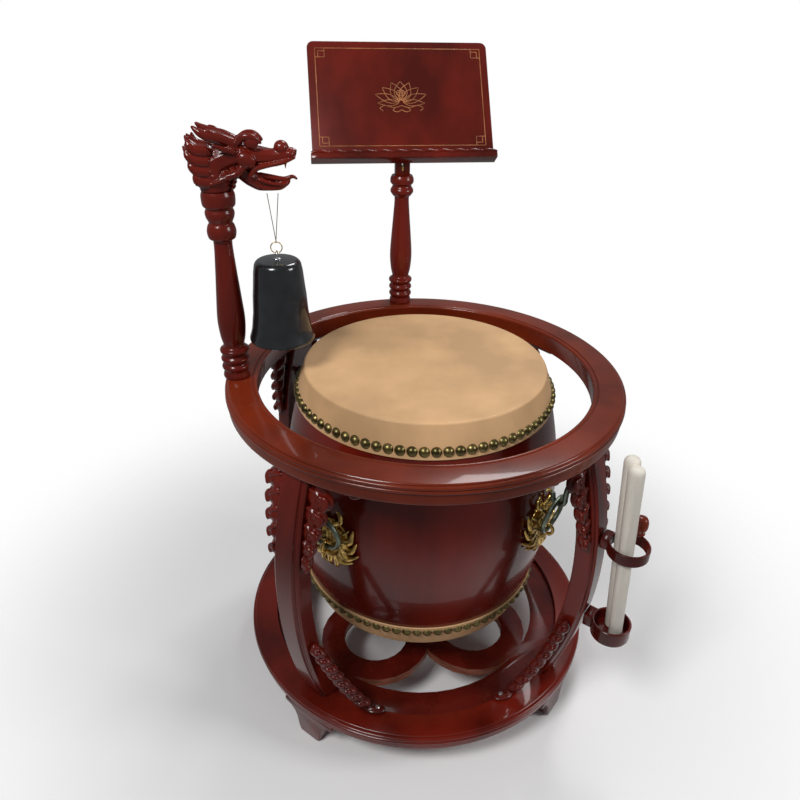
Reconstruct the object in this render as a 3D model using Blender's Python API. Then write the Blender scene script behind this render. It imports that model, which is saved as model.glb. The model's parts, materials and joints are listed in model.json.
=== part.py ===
# Temple drum: a barrel drum hung in a round openwork stand, with a bell, a tilting desk and drumsticks
# Metres, +Z up, floor at zero. The drum's front faces -Y.

import math

import bmesh
import bpy
from mathutils import Matrix, Vector

# The stand's axis, measured from the middle of the model's floor plan
AXIS_X = 0.01182
AXIS_Y = -0.04176

# Fits
GAP = 0.0003
PLAY = 0.0008

# Stand
RING_TOP = 0.612
RING_THICK = 0.034
RING_OUTER = 0.330
RING_INNER = 0.2775
BASE_TOP = 0.096
BASE_THICK = 0.032
BASE_OUTER = 0.329
BASE_INNER = 0.280
FLANGE_INNER = 0.2645
FLANGE_THICK = 0.0095
PANEL_THICK = 0.0165
PANEL_RIM = 0.233
SCROLL_OUTER = 0.103
SCROLL_INNER = 0.060
SCROLL_CENTRE = 0.1315
LEG_AZIMUTHS = {"fl": -45.0, "fr": 45.0, "bl": -135.0, "br": 135.0}
LEG_WIDTH = 0.050
LEG_DEPTH = 0.034
LEG_FOOT_RADIUS = 0.300
LEG_HEAD_RADIUS = 0.316
LEG_BOW = 0.043
LEG_STEPS = 12
FOOT_TOP_WIDTH = 0.112
FOOT_TOE_WIDTH = 0.040
FOOT_DEPTH = 0.034
FOOT_RADIUS = 0.321
RING_UNDER = RING_TOP - RING_THICK
BASE_UNDER = BASE_TOP - BASE_THICK

# Brackets and braces
BRACKET_HEIGHT = 0.163
BRACKET_REACH = 0.038
BRACKET_THICK = 0.022
TAB_REACH = 0.081
BRACE_RISE = 0.166
BRACE_REACH = 0.070
BRACE_WIDTH = 0.026
BRACE_THICK = 0.022

# Drum
DRUM_HEIGHT = 0.448
DRUM_TOP = RING_TOP + 0.016
DRUM_MID = DRUM_TOP - DRUM_HEIGHT / 2
SHELL_BELLY = 0.241
SHELL_END = 0.200
SHELL_WALL = 0.018
SHELL_CURVE = 1.8
HIDE_THICK = 0.003
HIDE_TURN = 0.052
NAIL_DROP = 0.040
NAIL_COUNT = 76
NAIL_RADIUS = 0.0064
SHELL_HALF = DRUM_HEIGHT / 2 - HIDE_THICK - GAP
SIDES = 36

# Ring handles, masks and hooks
MASK_HALF_WIDTH = 0.056
MASK_HALF_HEIGHT = 0.057
MASK_RELIEF = 0.010
MASK_HEIGHT = RING_TOP - 0.205
MOUTH_HEIGHT = RING_TOP - 0.210
STAPLE_RADIUS = 0.0095
STAPLE_WIRE = 0.0030
HANDLE_RADIUS = 0.0325
HANDLE_WIRE = 0.0040
HANDLE_LEAN = math.radians(10.0)
MOUTH_RADIUS = 0.2570
HOOK_WIRE = 0.0045
HOOK_BEND = 0.0105
HOOK_FIX_HEIGHT = 0.510

# Posts
POST_RADIUS_ON_RING = 0.3105
DRAGON_AZIMUTH = -92.0
DESK_AZIMUTH = 180.0
DRAGON_POST_HEIGHT = 0.299
DESK_POST_HEIGHT = 0.253

# Bell
BELL_LIP_RADIUS = 0.0515
BELL_LIP_DROP = 0.066
BELL_CROWN = 0.1965
BELL_WALL = 0.0035
SPLIT_RADIUS = 0.0085
SPLIT_WIRE = 0.0008
SPLIT_HEIGHT = 0.214
EYE_RADIUS = 0.0052
EYE_WIRE = 0.0013
CORD_RADIUS = 0.0006
CORD_HOLES = (0.070, 0.086)
CORD_TOP = 0.2945

# Desk
BOARD_WIDTH = 0.334
BOARD_LENGTH = 0.217
BOARD_THICK = 0.012
BOARD_TILT = math.radians(34.5)
LEDGE_DEPTH = 0.026
LEDGE_THICK = 0.010
NECK_WIDTH = 0.027
NECK_HEIGHT = 0.042
TONGUE_THICK = 0.0035
PIVOT_HEIGHT = 0.281
PIN_RADIUS = 0.0025

# Drumstick holder
HOLDER_RADIUS = 0.390
HOLDER_AZIMUTH = 45.0
LOOP_HEIGHT = RING_TOP - 0.182
LOOP_OUTER = 0.0320
LOOP_WALL = 0.0038
LOOP_BAND = 0.020
CUP_RIM = RING_TOP - 0.336
CUP_OUTER = 0.0315
CUP_DEPTH = 0.022
CUP_FLOOR = 0.008
STICK_LENGTH = 0.335
STICK_FOOT = 0.0105
STICK_HEAD = 0.0122
STICK_LEAN = math.radians(4.0)
STICK_LEAN_AZIMUTH = -100.5
STICK_SPREAD = 0.0128
STICK_SHIFT = 0.0050
KNOB_RADIUS = 0.0112
KNOB_HEIGHT = 0.034

# Colours, linear, with roughness and metallic values
LACQUER = ((0.185, 0.022, 0.017), 0.24, 0.0)
LACQUER_DARK = ((0.120, 0.017, 0.014), 0.28, 0.0)
LACQUER_WARM = ((0.260, 0.052, 0.026), 0.22, 0.0)
HIDE = ((0.760, 0.540, 0.320), 0.55, 0.0)
NAIL_METAL = ((0.260, 0.225, 0.085), 0.32, 0.9)
GILT = ((0.560, 0.400, 0.130), 0.34, 0.9)
BRONZE = ((0.180, 0.190, 0.150), 0.36, 0.9)
BRASS = ((0.780, 0.600, 0.240), 0.25, 1.0)
IRON = ((0.018, 0.020, 0.022), 0.26, 0.4)
STEEL = ((0.250, 0.260, 0.280), 0.30, 1.0)
CORD_BROWN = ((0.150, 0.120, 0.080), 0.85, 0.0)
STICK_WOOD = ((0.740, 0.700, 0.620), 0.50, 0.0)

for old in list(bpy.data.objects):
    bpy.data.objects.remove(old, do_unlink=True)

stand_axis = bpy.data.objects.new("stand_axis", None)
stand_axis.location = (AXIS_X, AXIS_Y, 0.0)
bpy.context.collection.objects.link(stand_axis)


# Building helpers

def paint(obj, look):
    colour, roughness, metallic = look
    material = bpy.data.materials.new(obj.name + "_finish")
    material.use_nodes = True
    shader = material.node_tree.nodes["Principled BSDF"]
    shader.inputs["Base Color"].default_value = (*colour, 1.0)
    shader.inputs["Roughness"].default_value = roughness
    shader.inputs["Metallic"].default_value = metallic
    material.diffuse_color = (*colour, 1.0)
    obj.data.materials.append(material)


def place(obj, look, location=(0.0, 0.0, 0.0), azimuth=0.0, parent=None):
    bpy.context.collection.objects.link(obj)
    obj.parent = parent or stand_axis
    obj.location = location
    obj.rotation_euler = (0.0, 0.0, math.radians(azimuth))
    if look:
        paint(obj, look)
    else:
        obj.hide_render = True
        obj.display_type = "WIRE"
    return obj


def solid(name, bm, look, location=(0.0, 0.0, 0.0), azimuth=0.0, parent=None, angle=40.0):
    bmesh.ops.remove_doubles(bm, verts=bm.verts, dist=1e-6)
    bmesh.ops.recalc_face_normals(bm, faces=bm.faces)
    mesh = bpy.data.meshes.new(name)
    bm.to_mesh(mesh)
    bm.free()
    mesh.shade_smooth()
    mesh.set_sharp_from_angle(angle=math.radians(angle))
    obj = bpy.data.objects.new(name, mesh)
    return place(obj, look, location, azimuth, parent)


def polar(radius, azimuth, height):
    turn = math.radians(azimuth)
    return Vector((radius * math.sin(turn), -radius * math.cos(turn), height))


def turned(profile, steps, closed=False):
    bm = bmesh.new()
    verts = [bm.verts.new((r, 0.0, z)) for r, z in profile]
    pairs = list(zip(verts, verts[1:]))
    if closed:
        pairs.append((verts[-1], verts[0]))
    edges = [bm.edges.new(pair) for pair in pairs]
    bmesh.ops.spin(bm, geom=verts + edges, cent=(0, 0, 0), axis=(0, 0, 1),
                   angle=2 * math.pi, steps=steps, use_merge=True, use_duplicate=False)
    bmesh.ops.remove_doubles(bm, verts=bm.verts, dist=1e-5)
    return bm


def prism(outline, thickness, cuts=0):
    # An outline in X and Z, given its thickness along Y about zero
    bm = bmesh.new()
    verts = [bm.verts.new((x, -thickness / 2, z)) for x, z in outline]
    face = bm.faces.new(verts)
    grown = bmesh.ops.extrude_face_region(bm, geom=[face])
    moved = [item for item in grown["geom"] if isinstance(item, bmesh.types.BMVert)]
    bmesh.ops.translate(bm, verts=moved, vec=(0, thickness, 0))
    if cuts:
        low = min(z for x, z in outline)
        high = max(z for x, z in outline)
        for k in range(1, cuts + 1):
            level = low + (high - low) * k / (cuts + 1)
            bmesh.ops.bisect_plane(bm, geom=bm.verts[:] + bm.edges[:] + bm.faces[:],
                                   plane_co=(0, 0, level), plane_no=(0, 0, 1))
    return bm


def box(width, depth, height, centre=(0, 0, 0), bevel=0.0):
    bm = bmesh.new()
    scale = Matrix.Diagonal((width, depth, height, 1.0))
    bmesh.ops.create_cube(bm, size=1.0, matrix=Matrix.Translation(centre) @ scale)
    if bevel:
        bmesh.ops.bevel(bm, geom=bm.edges[:], offset=bevel, affect="EDGES",
                        segments=1, profile=0.5, material=-1)
    return bm


def loft(sections, sides=10):
    # Sections are (x, z, half width across Y, half height, pitch in degrees)
    bm = bmesh.new()
    rings = []
    for x, z, wide, tall, pitch in sections:
        lean = math.radians(pitch)
        ring = []
        for k in range(sides):
            turn = 2 * math.pi * k / sides
            up = tall * math.sin(turn)
            ring.append(bm.verts.new((x - up * math.sin(lean), wide * math.cos(turn),
                                      z + up * math.cos(lean))))
        rings.append(ring)
    for lower, upper in zip(rings, rings[1:]):
        for k in range(sides):
            j = (k + 1) % sides
            bm.faces.new((lower[k], lower[j], upper[j], upper[k]))
    bm.faces.new(rings[0])
    bm.faces.new(rings[-1])
    return bm


def tube(name, points, radius, look, location=(0.0, 0.0, 0.0), azimuth=0.0, parent=None,
         factors=None, cyclic=False, resolution=2):
    curve = bpy.data.curves.new(name, "CURVE")
    curve.dimensions = "3D"
    curve.resolution_u = 1
    curve.render_resolution_u = 0
    curve.bevel_depth = radius
    curve.bevel_resolution = resolution
    curve.use_fill_caps = not cyclic
    spline = curve.splines.new("POLY")
    spline.points.add(len(points) - 1)
    for k, point in enumerate(points):
        spline.points[k].co = (*point, 1.0)
        spline.points[k].radius = factors[k] if factors else 1.0
    spline.use_cyclic_u = cyclic
    obj = bpy.data.objects.new(name, curve)
    return place(obj, look, location, azimuth, parent)


def join(target, other, operation="UNION"):
    cut = target.modifiers.new(other.name, "BOOLEAN")
    cut.operation = operation
    cut.solver = "EXACT"
    cut.object = other


# Stand

def leg_outer(height):
    low = BASE_TOP
    high = RING_UNDER
    along = (height - low) / (high - low)
    chord = LEG_FOOT_RADIUS + (LEG_HEAD_RADIUS - LEG_FOOT_RADIUS) * along
    return chord + LEG_BOW * (1.0 - (2.0 * along - 1.0) ** 2)


def follow_leg(bm, inset):
    # Carry a flat piece out to the leg's bow and round the ring's curve
    for vert in bm.verts:
        height = min(max(vert.co.z, BASE_TOP), RING_UNDER)
        radius = leg_outer(height) - inset - vert.co.y
        vert.co.y = -math.sqrt(radius * radius - vert.co.x * vert.co.x)


def make_base():
    bottom = BASE_UNDER
    top = BASE_TOP
    ledge = bottom + FLANGE_THICK
    rim = BASE_OUTER
    profile = [(FLANGE_INNER, ledge), (FLANGE_INNER, bottom), (rim - 0.007, bottom),
               (rim - 0.004, bottom + 0.004), (rim - 0.004, top - 0.013), (rim, top - 0.010),
               (rim, top - 0.006), (rim - 0.003, top - 0.0045), (rim - 0.004, top),
               (BASE_INNER, top), (BASE_INNER, ledge)]
    solid("base_ring", turned(profile, 48, closed=True), LACQUER, angle=50.0)

    low = ledge + GAP
    high = low + PANEL_THICK
    outer = BASE_INNER - 2 * GAP
    profile = [(PANEL_RIM, low), (outer, low), (outer, high), (PANEL_RIM, high)]
    panel = solid("base_panel", turned(profile, 48, closed=True), LACQUER_DARK)
    for side, azimuth in LEG_AZIMUTHS.items():
        profile = [(SCROLL_INNER, low), (SCROLL_OUTER, low), (SCROLL_OUTER, high), (SCROLL_INNER, high)]
        ring = solid("scroll_" + side, turned(profile, 24, closed=True), None,
                     location=polar(SCROLL_CENTRE, azimuth, 0.0))
        join(panel, ring)


def make_foot(side, azimuth):
    top = BASE_UNDER - GAP
    wide = FOOT_TOP_WIDTH / 2
    toe = FOOT_TOE_WIDTH / 2
    outline = [(-wide, top), (-wide, top - 0.008)]
    curve = []
    for k in range(5):
        turn = math.radians(90.0 * k / 4)
        curve.append((wide - 0.004 - (wide - toe - 0.010) * math.sin(turn),
                      top - 0.010 - (top - 0.026) * (1.0 - math.cos(turn))))
    right = curve + [(toe + 0.004, 0.008), (toe, 0.0)]
    outline += [(-x, z) for x, z in right]
    outline += [(x, z) for x, z in reversed(right)]
    outline += [(wide, top - 0.008), (wide, top)]
    bm = prism(outline, FOOT_DEPTH)
    solid("foot_" + side, bm, LACQUER_DARK, location=polar(FOOT_RADIUS - FOOT_DEPTH / 2, azimuth, 0.0),
          azimuth=azimuth)


def make_leg(side, azimuth):
    half = LEG_WIDTH / 2
    section = [(-half, LEG_DEPTH), (half, LEG_DEPTH), (half, 0.006), (half - 0.007, 0.004),
               (half - 0.009, 0.0), (-half + 0.009, 0.0), (-half + 0.007, 0.004), (-half, 0.006)]
    bm = bmesh.new()
    low = BASE_TOP + GAP
    high = RING_UNDER - GAP
    verts = [bm.verts.new((x, inset - leg_outer(low), low)) for x, inset in section]
    face = bm.faces.new(verts)
    ends = [face]
    for k in range(1, LEG_STEPS + 1):
        height = low + (high - low) * k / LEG_STEPS
        grown = bmesh.ops.extrude_face_region(bm, geom=ends)
        ends = [item for item in grown["geom"] if isinstance(item, bmesh.types.BMFace)]
        moved = [item for item in grown["geom"] if isinstance(item, bmesh.types.BMVert)]
        before = moved[0].co.z
        bmesh.ops.translate(bm, verts=moved,
                            vec=(0, leg_outer(before) - leg_outer(height), height - before))
    inner = [f for f in bm.faces
             if abs(f.normal.z) > 0.9 and low + 1e-4 < f.calc_center_median().z < high - 1e-4]
    bmesh.ops.delete(bm, geom=inner, context="FACES_ONLY")
    solid("leg_" + side, bm, LACQUER, azimuth=azimuth, angle=30.0)


def lobed_edge(start, end, lobes, depth):
    # A carved edge: points from start to end with rounded lobes standing out by depth
    points = []
    run = Vector(end) - Vector(start)
    out = Vector((-run.y, run.x)).normalized()
    if out.x < 0:
        out = -out
    for k in range(lobes * 3 + 1):
        along = k / (lobes * 3)
        swell = depth * abs(math.sin(math.pi * along * lobes))
        spot = Vector(start) + run * along + out * swell
        points.append((spot.x, spot.y))
    return points


def make_upper_bracket(side, hand, azimuth):
    near = LEG_WIDTH / 2 + GAP
    top = RING_UNDER - GAP
    tab = near + TAB_REACH
    outline = [(near, top), (tab - 0.003, top), (tab, top - 0.005), (tab - 0.003, top - 0.013),
               (tab - 0.012, top - 0.016)]
    outline += lobed_edge((near + BRACKET_REACH, top - 0.018), (near + 0.004, top - BRACKET_HEIGHT), 5, 0.006)
    outline += [(near, top - BRACKET_HEIGHT)]
    bm = prism(outline, BRACKET_THICK, cuts=5)
    follow_leg(bm, 0.006 + BRACKET_THICK / 2)
    if hand < 0:
        bmesh.ops.scale(bm, vec=(-1, 1, 1), verts=bm.verts)
    word = "right" if hand > 0 else "left"
    solid("upper_bracket_" + side + "_" + word, bm, LACQUER, azimuth=azimuth, angle=30.0)


def make_lower_brace(side, hand, azimuth):
    near = LEG_WIDTH / 2 + GAP
    floor = BASE_TOP + GAP
    top = floor + BRACE_RISE
    reach = near + BRACE_REACH
    outline = [(near, top - BRACE_WIDTH * 1.5), (near, top)]
    outline += lobed_edge((near + 0.006, top - 0.002), (reach, floor + 0.011), 6, 0.0035)
    outline += [(reach + 0.024, floor + 0.009), (reach + 0.028, floor + 0.006), (reach + 0.028, floor)]
    outline += [(reach - BRACE_WIDTH * 0.55, floor)]
    bm = prism(outline, BRACE_THICK, cuts=5)
    follow_leg(bm, 0.006 + BRACE_THICK / 2)
    if hand < 0:
        bmesh.ops.scale(bm, vec=(-1, 1, 1), verts=bm.verts)
    word = "right" if hand > 0 else "left"
    solid("lower_brace_" + side + "_" + word, bm, LACQUER_DARK, azimuth=azimuth, angle=30.0)


def make_top_ring():
    top = RING_TOP
    low = RING_UNDER
    rim = RING_OUTER
    bore = RING_INNER
    profile = [(bore + 0.002, low), (rim - 0.006, low), (rim - 0.003, low + 0.003), (rim - 0.003, top - 0.013),
               (rim, top - 0.010), (rim, top - 0.006), (rim - 0.003, top - 0.0045),
               (rim - 0.004, top), (bore + 0.004, top), (bore, top - 0.003), (bore, top - 0.008),
               (bore + 0.002, top - 0.010)]
    solid("top_ring", turned(profile, 52, closed=True), LACQUER_WARM, angle=50.0)


# Drum

def shell_radius(offset):
    # Outer radius of the shell, offset up or down from the drum's middle
    along = min(abs(offset) / SHELL_HALF, 1.0)
    return SHELL_BELLY - (SHELL_BELLY - SHELL_END) * along ** SHELL_CURVE


def drum_levels():
    turn = DRUM_HEIGHT / 2 - HIDE_TURN
    skirt = [SHELL_HALF, SHELL_HALF - 0.014, SHELL_HALF - 0.028, turn]
    belly = [turn * k / 3 for k in (2, 1, 0)]
    return skirt, belly


def make_drum():
    skirt, belly = drum_levels()
    upper = skirt + belly
    levels = upper + [-level for level in reversed(upper[:-1])]
    outer = [(shell_radius(level), level) for level in levels]
    inside = (levels[-1], -belly[0], 0.0, belly[0], levels[0])
    inner = [(shell_radius(level) - SHELL_WALL, level) for level in inside]
    shell = turned(outer + inner, SIDES, closed=True)
    solid("drum_shell", shell, LACQUER, location=(0, 0, DRUM_MID))

    turn = skirt[-1]
    for word, flip in (("top", 1.0), ("bottom", -1.0)):
        face = DRUM_HEIGHT / 2
        under = SHELL_HALF + GAP
        profile = [(0.0, face - 0.0008), (0.150, face - 0.0008), (SHELL_END - 0.004, face)]
        profile += [(SHELL_END + HIDE_THICK - 0.0008, face - 0.0016)]
        profile += [(shell_radius(level) + HIDE_THICK + GAP, level) for level in skirt]
        profile += [(shell_radius(level) + GAP, level) for level in reversed(skirt[1:])]
        profile += [(SHELL_END + GAP, under), (0.0, under)]
        bm = turned([(r, z * flip) for r, z in profile], SIDES)
        solid("drum_head_" + word, bm, HIDE, location=(0, 0, DRUM_MID))

        nail = DRUM_HEIGHT / 2 - NAIL_DROP
        lower = shell_radius(nail - 0.005)
        higher = shell_radius(nail + 0.005)
        along = Vector((higher - lower, 0.010)).normalized()
        out = Vector((along.y, -along.x))
        seat = Vector((shell_radius(nail) + HIDE_THICK + 3 * GAP, nail))
        bm = bmesh.new()
        rings = []
        stations = NAIL_COUNT * 2
        for k in range(stations):
            angle = 2 * math.pi * k / stations
            size = NAIL_RADIUS if k % 2 == 0 else NAIL_RADIUS * 0.40
            ring = []
            for step, rise in ((-1.0, 0.0), (0.0, 0.95), (1.0, 0.0)):
                spot = seat + along * (step * size) + out * (rise * size)
                ring.append(bm.verts.new((spot.x * math.cos(angle), spot.x * math.sin(angle), spot.y * flip)))
            rings.append(ring)
        for k in range(stations):
            here = rings[k]
            there = rings[(k + 1) % stations]
            for j in range(3):
                i = (j + 1) % 3
                bm.faces.new((here[j], here[i], there[i], there[j]))
        solid("nail_row_" + word, bm, NAIL_METAL, location=(0, 0, DRUM_MID), angle=60.0)


# Masks, ring handles and hooks

def mask_outline(turn):
    # Half sizes of the mask towards a direction, with horn, cheek and whisker points
    points = 0.16 * math.cos(6 * turn) + 0.06 * math.cos(10 * turn + math.pi)
    return 0.86 + points


def make_mask(side, azimuth):
    bm = bmesh.new()
    count = 20
    shares = (0.5, 1.0)
    centre = Vector((0.0, MASK_HEIGHT))

    def spot(share, turn, lift):
        reach = mask_outline(turn) * share
        x = MASK_HALF_WIDTH * reach * math.sin(turn)
        z = centre.y + MASK_HALF_HEIGHT * reach * math.cos(turn)
        seat = shell_radius(z - DRUM_MID) + 3 * GAP
        radius = seat + lift * (0.35 + 0.65 * (1.0 - share ** 2))
        return (x, -math.sqrt(radius * radius - x * x), z)

    grids = []
    for lift in (0.0, MASK_RELIEF):
        core = bm.verts.new(spot(0.0, 0.0, lift))
        rings = [[bm.verts.new(spot(share, 2 * math.pi * k / count, lift)) for k in range(count)]
                 for share in shares]
        for k in range(count):
            j = (k + 1) % count
            bm.faces.new((core, rings[0][k], rings[0][j]))
            for inner, outer in zip(rings, rings[1:]):
                bm.faces.new((inner[k], outer[k], outer[j], inner[j]))
        grids.append(rings)
    for k in range(count):
        j = (k + 1) % count
        bm.faces.new((grids[0][-1][k], grids[0][-1][j], grids[1][-1][j], grids[1][-1][k]))
    mask = solid("beast_mask_" + side, bm, GILT, azimuth=azimuth, angle=25.0)

    wire = [(STAPLE_RADIUS + STAPLE_WIRE * math.cos(math.pi * k / 3), STAPLE_WIRE * math.sin(math.pi * k / 3))
            for k in range(6)]
    staple = turned(wire, 12, closed=True)
    bmesh.ops.rotate(staple, verts=staple.verts, cent=(0, 0, 0), matrix=Matrix.Rotation(math.pi / 2, 3, "Y"))
    hang = STAPLE_RADIUS - STAPLE_WIRE - HANDLE_WIRE - 3 * GAP
    bmesh.ops.translate(staple, verts=staple.verts, vec=(0, -MOUTH_RADIUS, MOUTH_HEIGHT - hang))
    loop = solid("staple_" + side, staple, None, azimuth=azimuth)
    join(mask, loop)


def make_handle(side, azimuth):
    # The ring's origin is its pivot, at the bottom of the ring, in the mask's mouth
    count = 18
    wire = [(HANDLE_RADIUS + HANDLE_WIRE * math.cos(math.pi * k / 3), HANDLE_WIRE * math.sin(math.pi * k / 3))
            for k in range(6)]
    bm = turned(wire, count, closed=True)
    bmesh.ops.rotate(bm, verts=bm.verts, cent=(0, 0, 0), matrix=Matrix.Rotation(math.pi / 2, 3, "X"))
    bmesh.ops.translate(bm, verts=bm.verts, vec=(0, 0, HANDLE_RADIUS))
    bmesh.ops.rotate(bm, verts=bm.verts, cent=(0, 0, 0), matrix=Matrix.Rotation(HANDLE_LEAN, 3, "X"))
    solid("drum_ring_" + side, bm, BRONZE, location=polar(MOUTH_RADIUS, azimuth, MOUTH_HEIGHT),
          azimuth=azimuth)


def make_hook(side, azimuth):
    bar_radius = MOUTH_RADIUS + 2 * HANDLE_RADIUS * math.sin(HANDLE_LEAN)
    bar_height = MOUTH_HEIGHT + 2 * HANDLE_RADIUS * math.cos(HANDLE_LEAN)
    trough = bar_height - HANDLE_WIRE - GAP - HOOK_WIRE
    centre = trough + HOOK_BEND
    slope = (leg_outer(HOOK_FIX_HEIGHT + 0.005) - leg_outer(HOOK_FIX_HEIGHT - 0.005)) / 0.010
    inward = Vector((-1.0, slope)).normalized()
    fix = Vector((leg_outer(HOOK_FIX_HEIGHT) - LEG_DEPTH, HOOK_FIX_HEIGHT)) + inward * (2.5 * GAP)
    path = [tuple(fix), tuple(fix + inward * 0.003), tuple(fix + inward * 0.004),
            tuple(fix + inward * 0.009), (bar_radius + HOOK_BEND + 0.003, centre + 0.030),
            (bar_radius + HOOK_BEND + 0.0005, centre + 0.021), (bar_radius + HOOK_BEND, centre + 0.012)]
    factors = [2.5, 2.5, 1.0, 1.0, 1.0, 1.0, 1.0]
    for k in range(9):
        turn = math.pi * k / 8
        path.append((bar_radius + HOOK_BEND * math.cos(turn), centre - HOOK_BEND * math.sin(turn)))
        factors.append(1.0)
    path.append((bar_radius - HOOK_BEND - 0.001, centre + 0.008))
    factors.append(0.85)
    points = [Vector((0.0, -radius, height)) for radius, height in path]
    tube("hanger_hook_" + side, points, HOOK_WIRE, BRONZE, azimuth=azimuth, factors=factors, resolution=1)


# Turned posts and the dragon head

def vase(height, scale):
    # Base rings, a swelling vase and a slim neck, from the ring's top up
    return [(0.0, 0.0), (0.0205, 0.0), (0.0215, 0.004), (0.0195, 0.013), (0.0220, 0.017), (0.0220, 0.021),
            (0.0190, 0.026), (0.0222, 0.031), (0.0222, 0.035), (0.0190, 0.040), (0.0225, 0.045),
            (0.0225, 0.050), (0.0165, 0.056), (0.0195, 0.072), (0.0215, 0.100), (0.0190, 0.140),
            (0.0160, 0.180 * scale), (0.0138, height)]


def make_dragon_post():
    top = DRAGON_POST_HEIGHT
    profile = vase(0.224, 1.0)
    profile += [(0.0195, 0.232), (0.0215, 0.240), (0.0195, 0.248), (0.0175, 0.252), (0.0205, 0.262),
                (0.0215, 0.270), (0.0200, 0.274), (0.0240, 0.279), (0.0245, 0.292), (0.0225, top), (0.0, top)]
    solid("dragon_post", turned(profile, 14), LACQUER,
          location=polar(POST_RADIUS_ON_RING, DRAGON_AZIMUTH, RING_TOP + GAP))


def dragon_piece(name, bm, base):
    piece = solid("dragon_" + name, bm, None, parent=base)
    return piece


def make_dragon_head():
    # Local +X points from the post towards the drum's axis
    face = DRAGON_AZIMUTH + 90.0
    neck = loft([(-0.004, 0.0, 0.0215, 0.024, 90), (-0.004, 0.012, 0.026, 0.026, 84),
                 (-0.002, 0.028, 0.027, 0.029, 62), (0.012, 0.042, 0.026, 0.027, 30),
                 (0.034, 0.046, 0.024, 0.023, 5), (0.056, 0.046, 0.019, 0.018, -6),
                 (0.078, 0.044, 0.014, 0.013, -8), (0.098, 0.046, 0.0125, 0.010, 4),
                 (0.113, 0.050, 0.008, 0.006, 10)], sides=10)
    head = solid("dragon_head", neck, LACQUER,
                 location=polar(POST_RADIUS_ON_RING, DRAGON_AZIMUTH, RING_TOP + DRAGON_POST_HEIGHT + 2 * GAP),
                 azimuth=face, angle=35.0)
    jaw = loft([(0.044, 0.032, 0.014, 0.010, -40), (0.056, 0.016, 0.014, 0.012, -50),
                (0.068, 0.003, 0.012, 0.0085, -25), (0.086, 0.003, 0.0095, 0.006, 5),
                (0.098, 0.008, 0.006, 0.004, 12), (0.108, 0.009, 0.003, 0.0025, -5)], sides=8)
    join(head, dragon_piece("jaw", jaw, head))
    for hand in (-1.0, 1.0):
        word = "right" if hand > 0 else "left"
        horn = bmesh.new()
        bmesh.ops.create_cone(horn, cap_ends=True, segments=6, radius1=0.0085, radius2=0.001, depth=0.056)
        bmesh.ops.rotate(horn, verts=horn.verts, cent=(0, 0, 0), matrix=Matrix.Rotation(math.radians(-68), 3, "Y"))
        bmesh.ops.translate(horn, verts=horn.verts, vec=(0.003, 0.014 * hand, 0.067))
        join(head, dragon_piece("horn_" + word, horn, head))
        for k, (x, z, pitch) in enumerate(((-0.022, 0.044, -80), (-0.020, 0.030, -88), (-0.016, 0.056, -72))):
            spike = bmesh.new()
            bmesh.ops.create_cone(spike, cap_ends=True, segments=5, radius1=0.0080, radius2=0.0008, depth=0.042)
            bmesh.ops.rotate(spike, verts=spike.verts, cent=(0, 0, 0),
                             matrix=Matrix.Rotation(math.radians(pitch), 3, "Y"))
            bmesh.ops.translate(spike, verts=spike.verts, vec=(x, (0.0155 - 0.001 * k) * hand, z - 0.002))
            join(head, dragon_piece("mane_%d_%s" % (k, word), spike, head))
        eye = bmesh.new()
        bmesh.ops.create_uvsphere(eye, u_segments=8, v_segments=6, radius=0.0090)
        bmesh.ops.translate(eye, verts=eye.verts, vec=(0.050, 0.0135 * hand, 0.066))
        join(head, dragon_piece("eye_" + word, eye, head))
        nostril = bmesh.new()
        bmesh.ops.create_uvsphere(nostril, u_segments=8, v_segments=5, radius=0.0080)
        bmesh.ops.translate(nostril, verts=nostril.verts, vec=(0.097, 0.0062 * hand, 0.0570))
        join(head, dragon_piece("nostril_" + word, nostril, head))


# Bell

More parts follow.
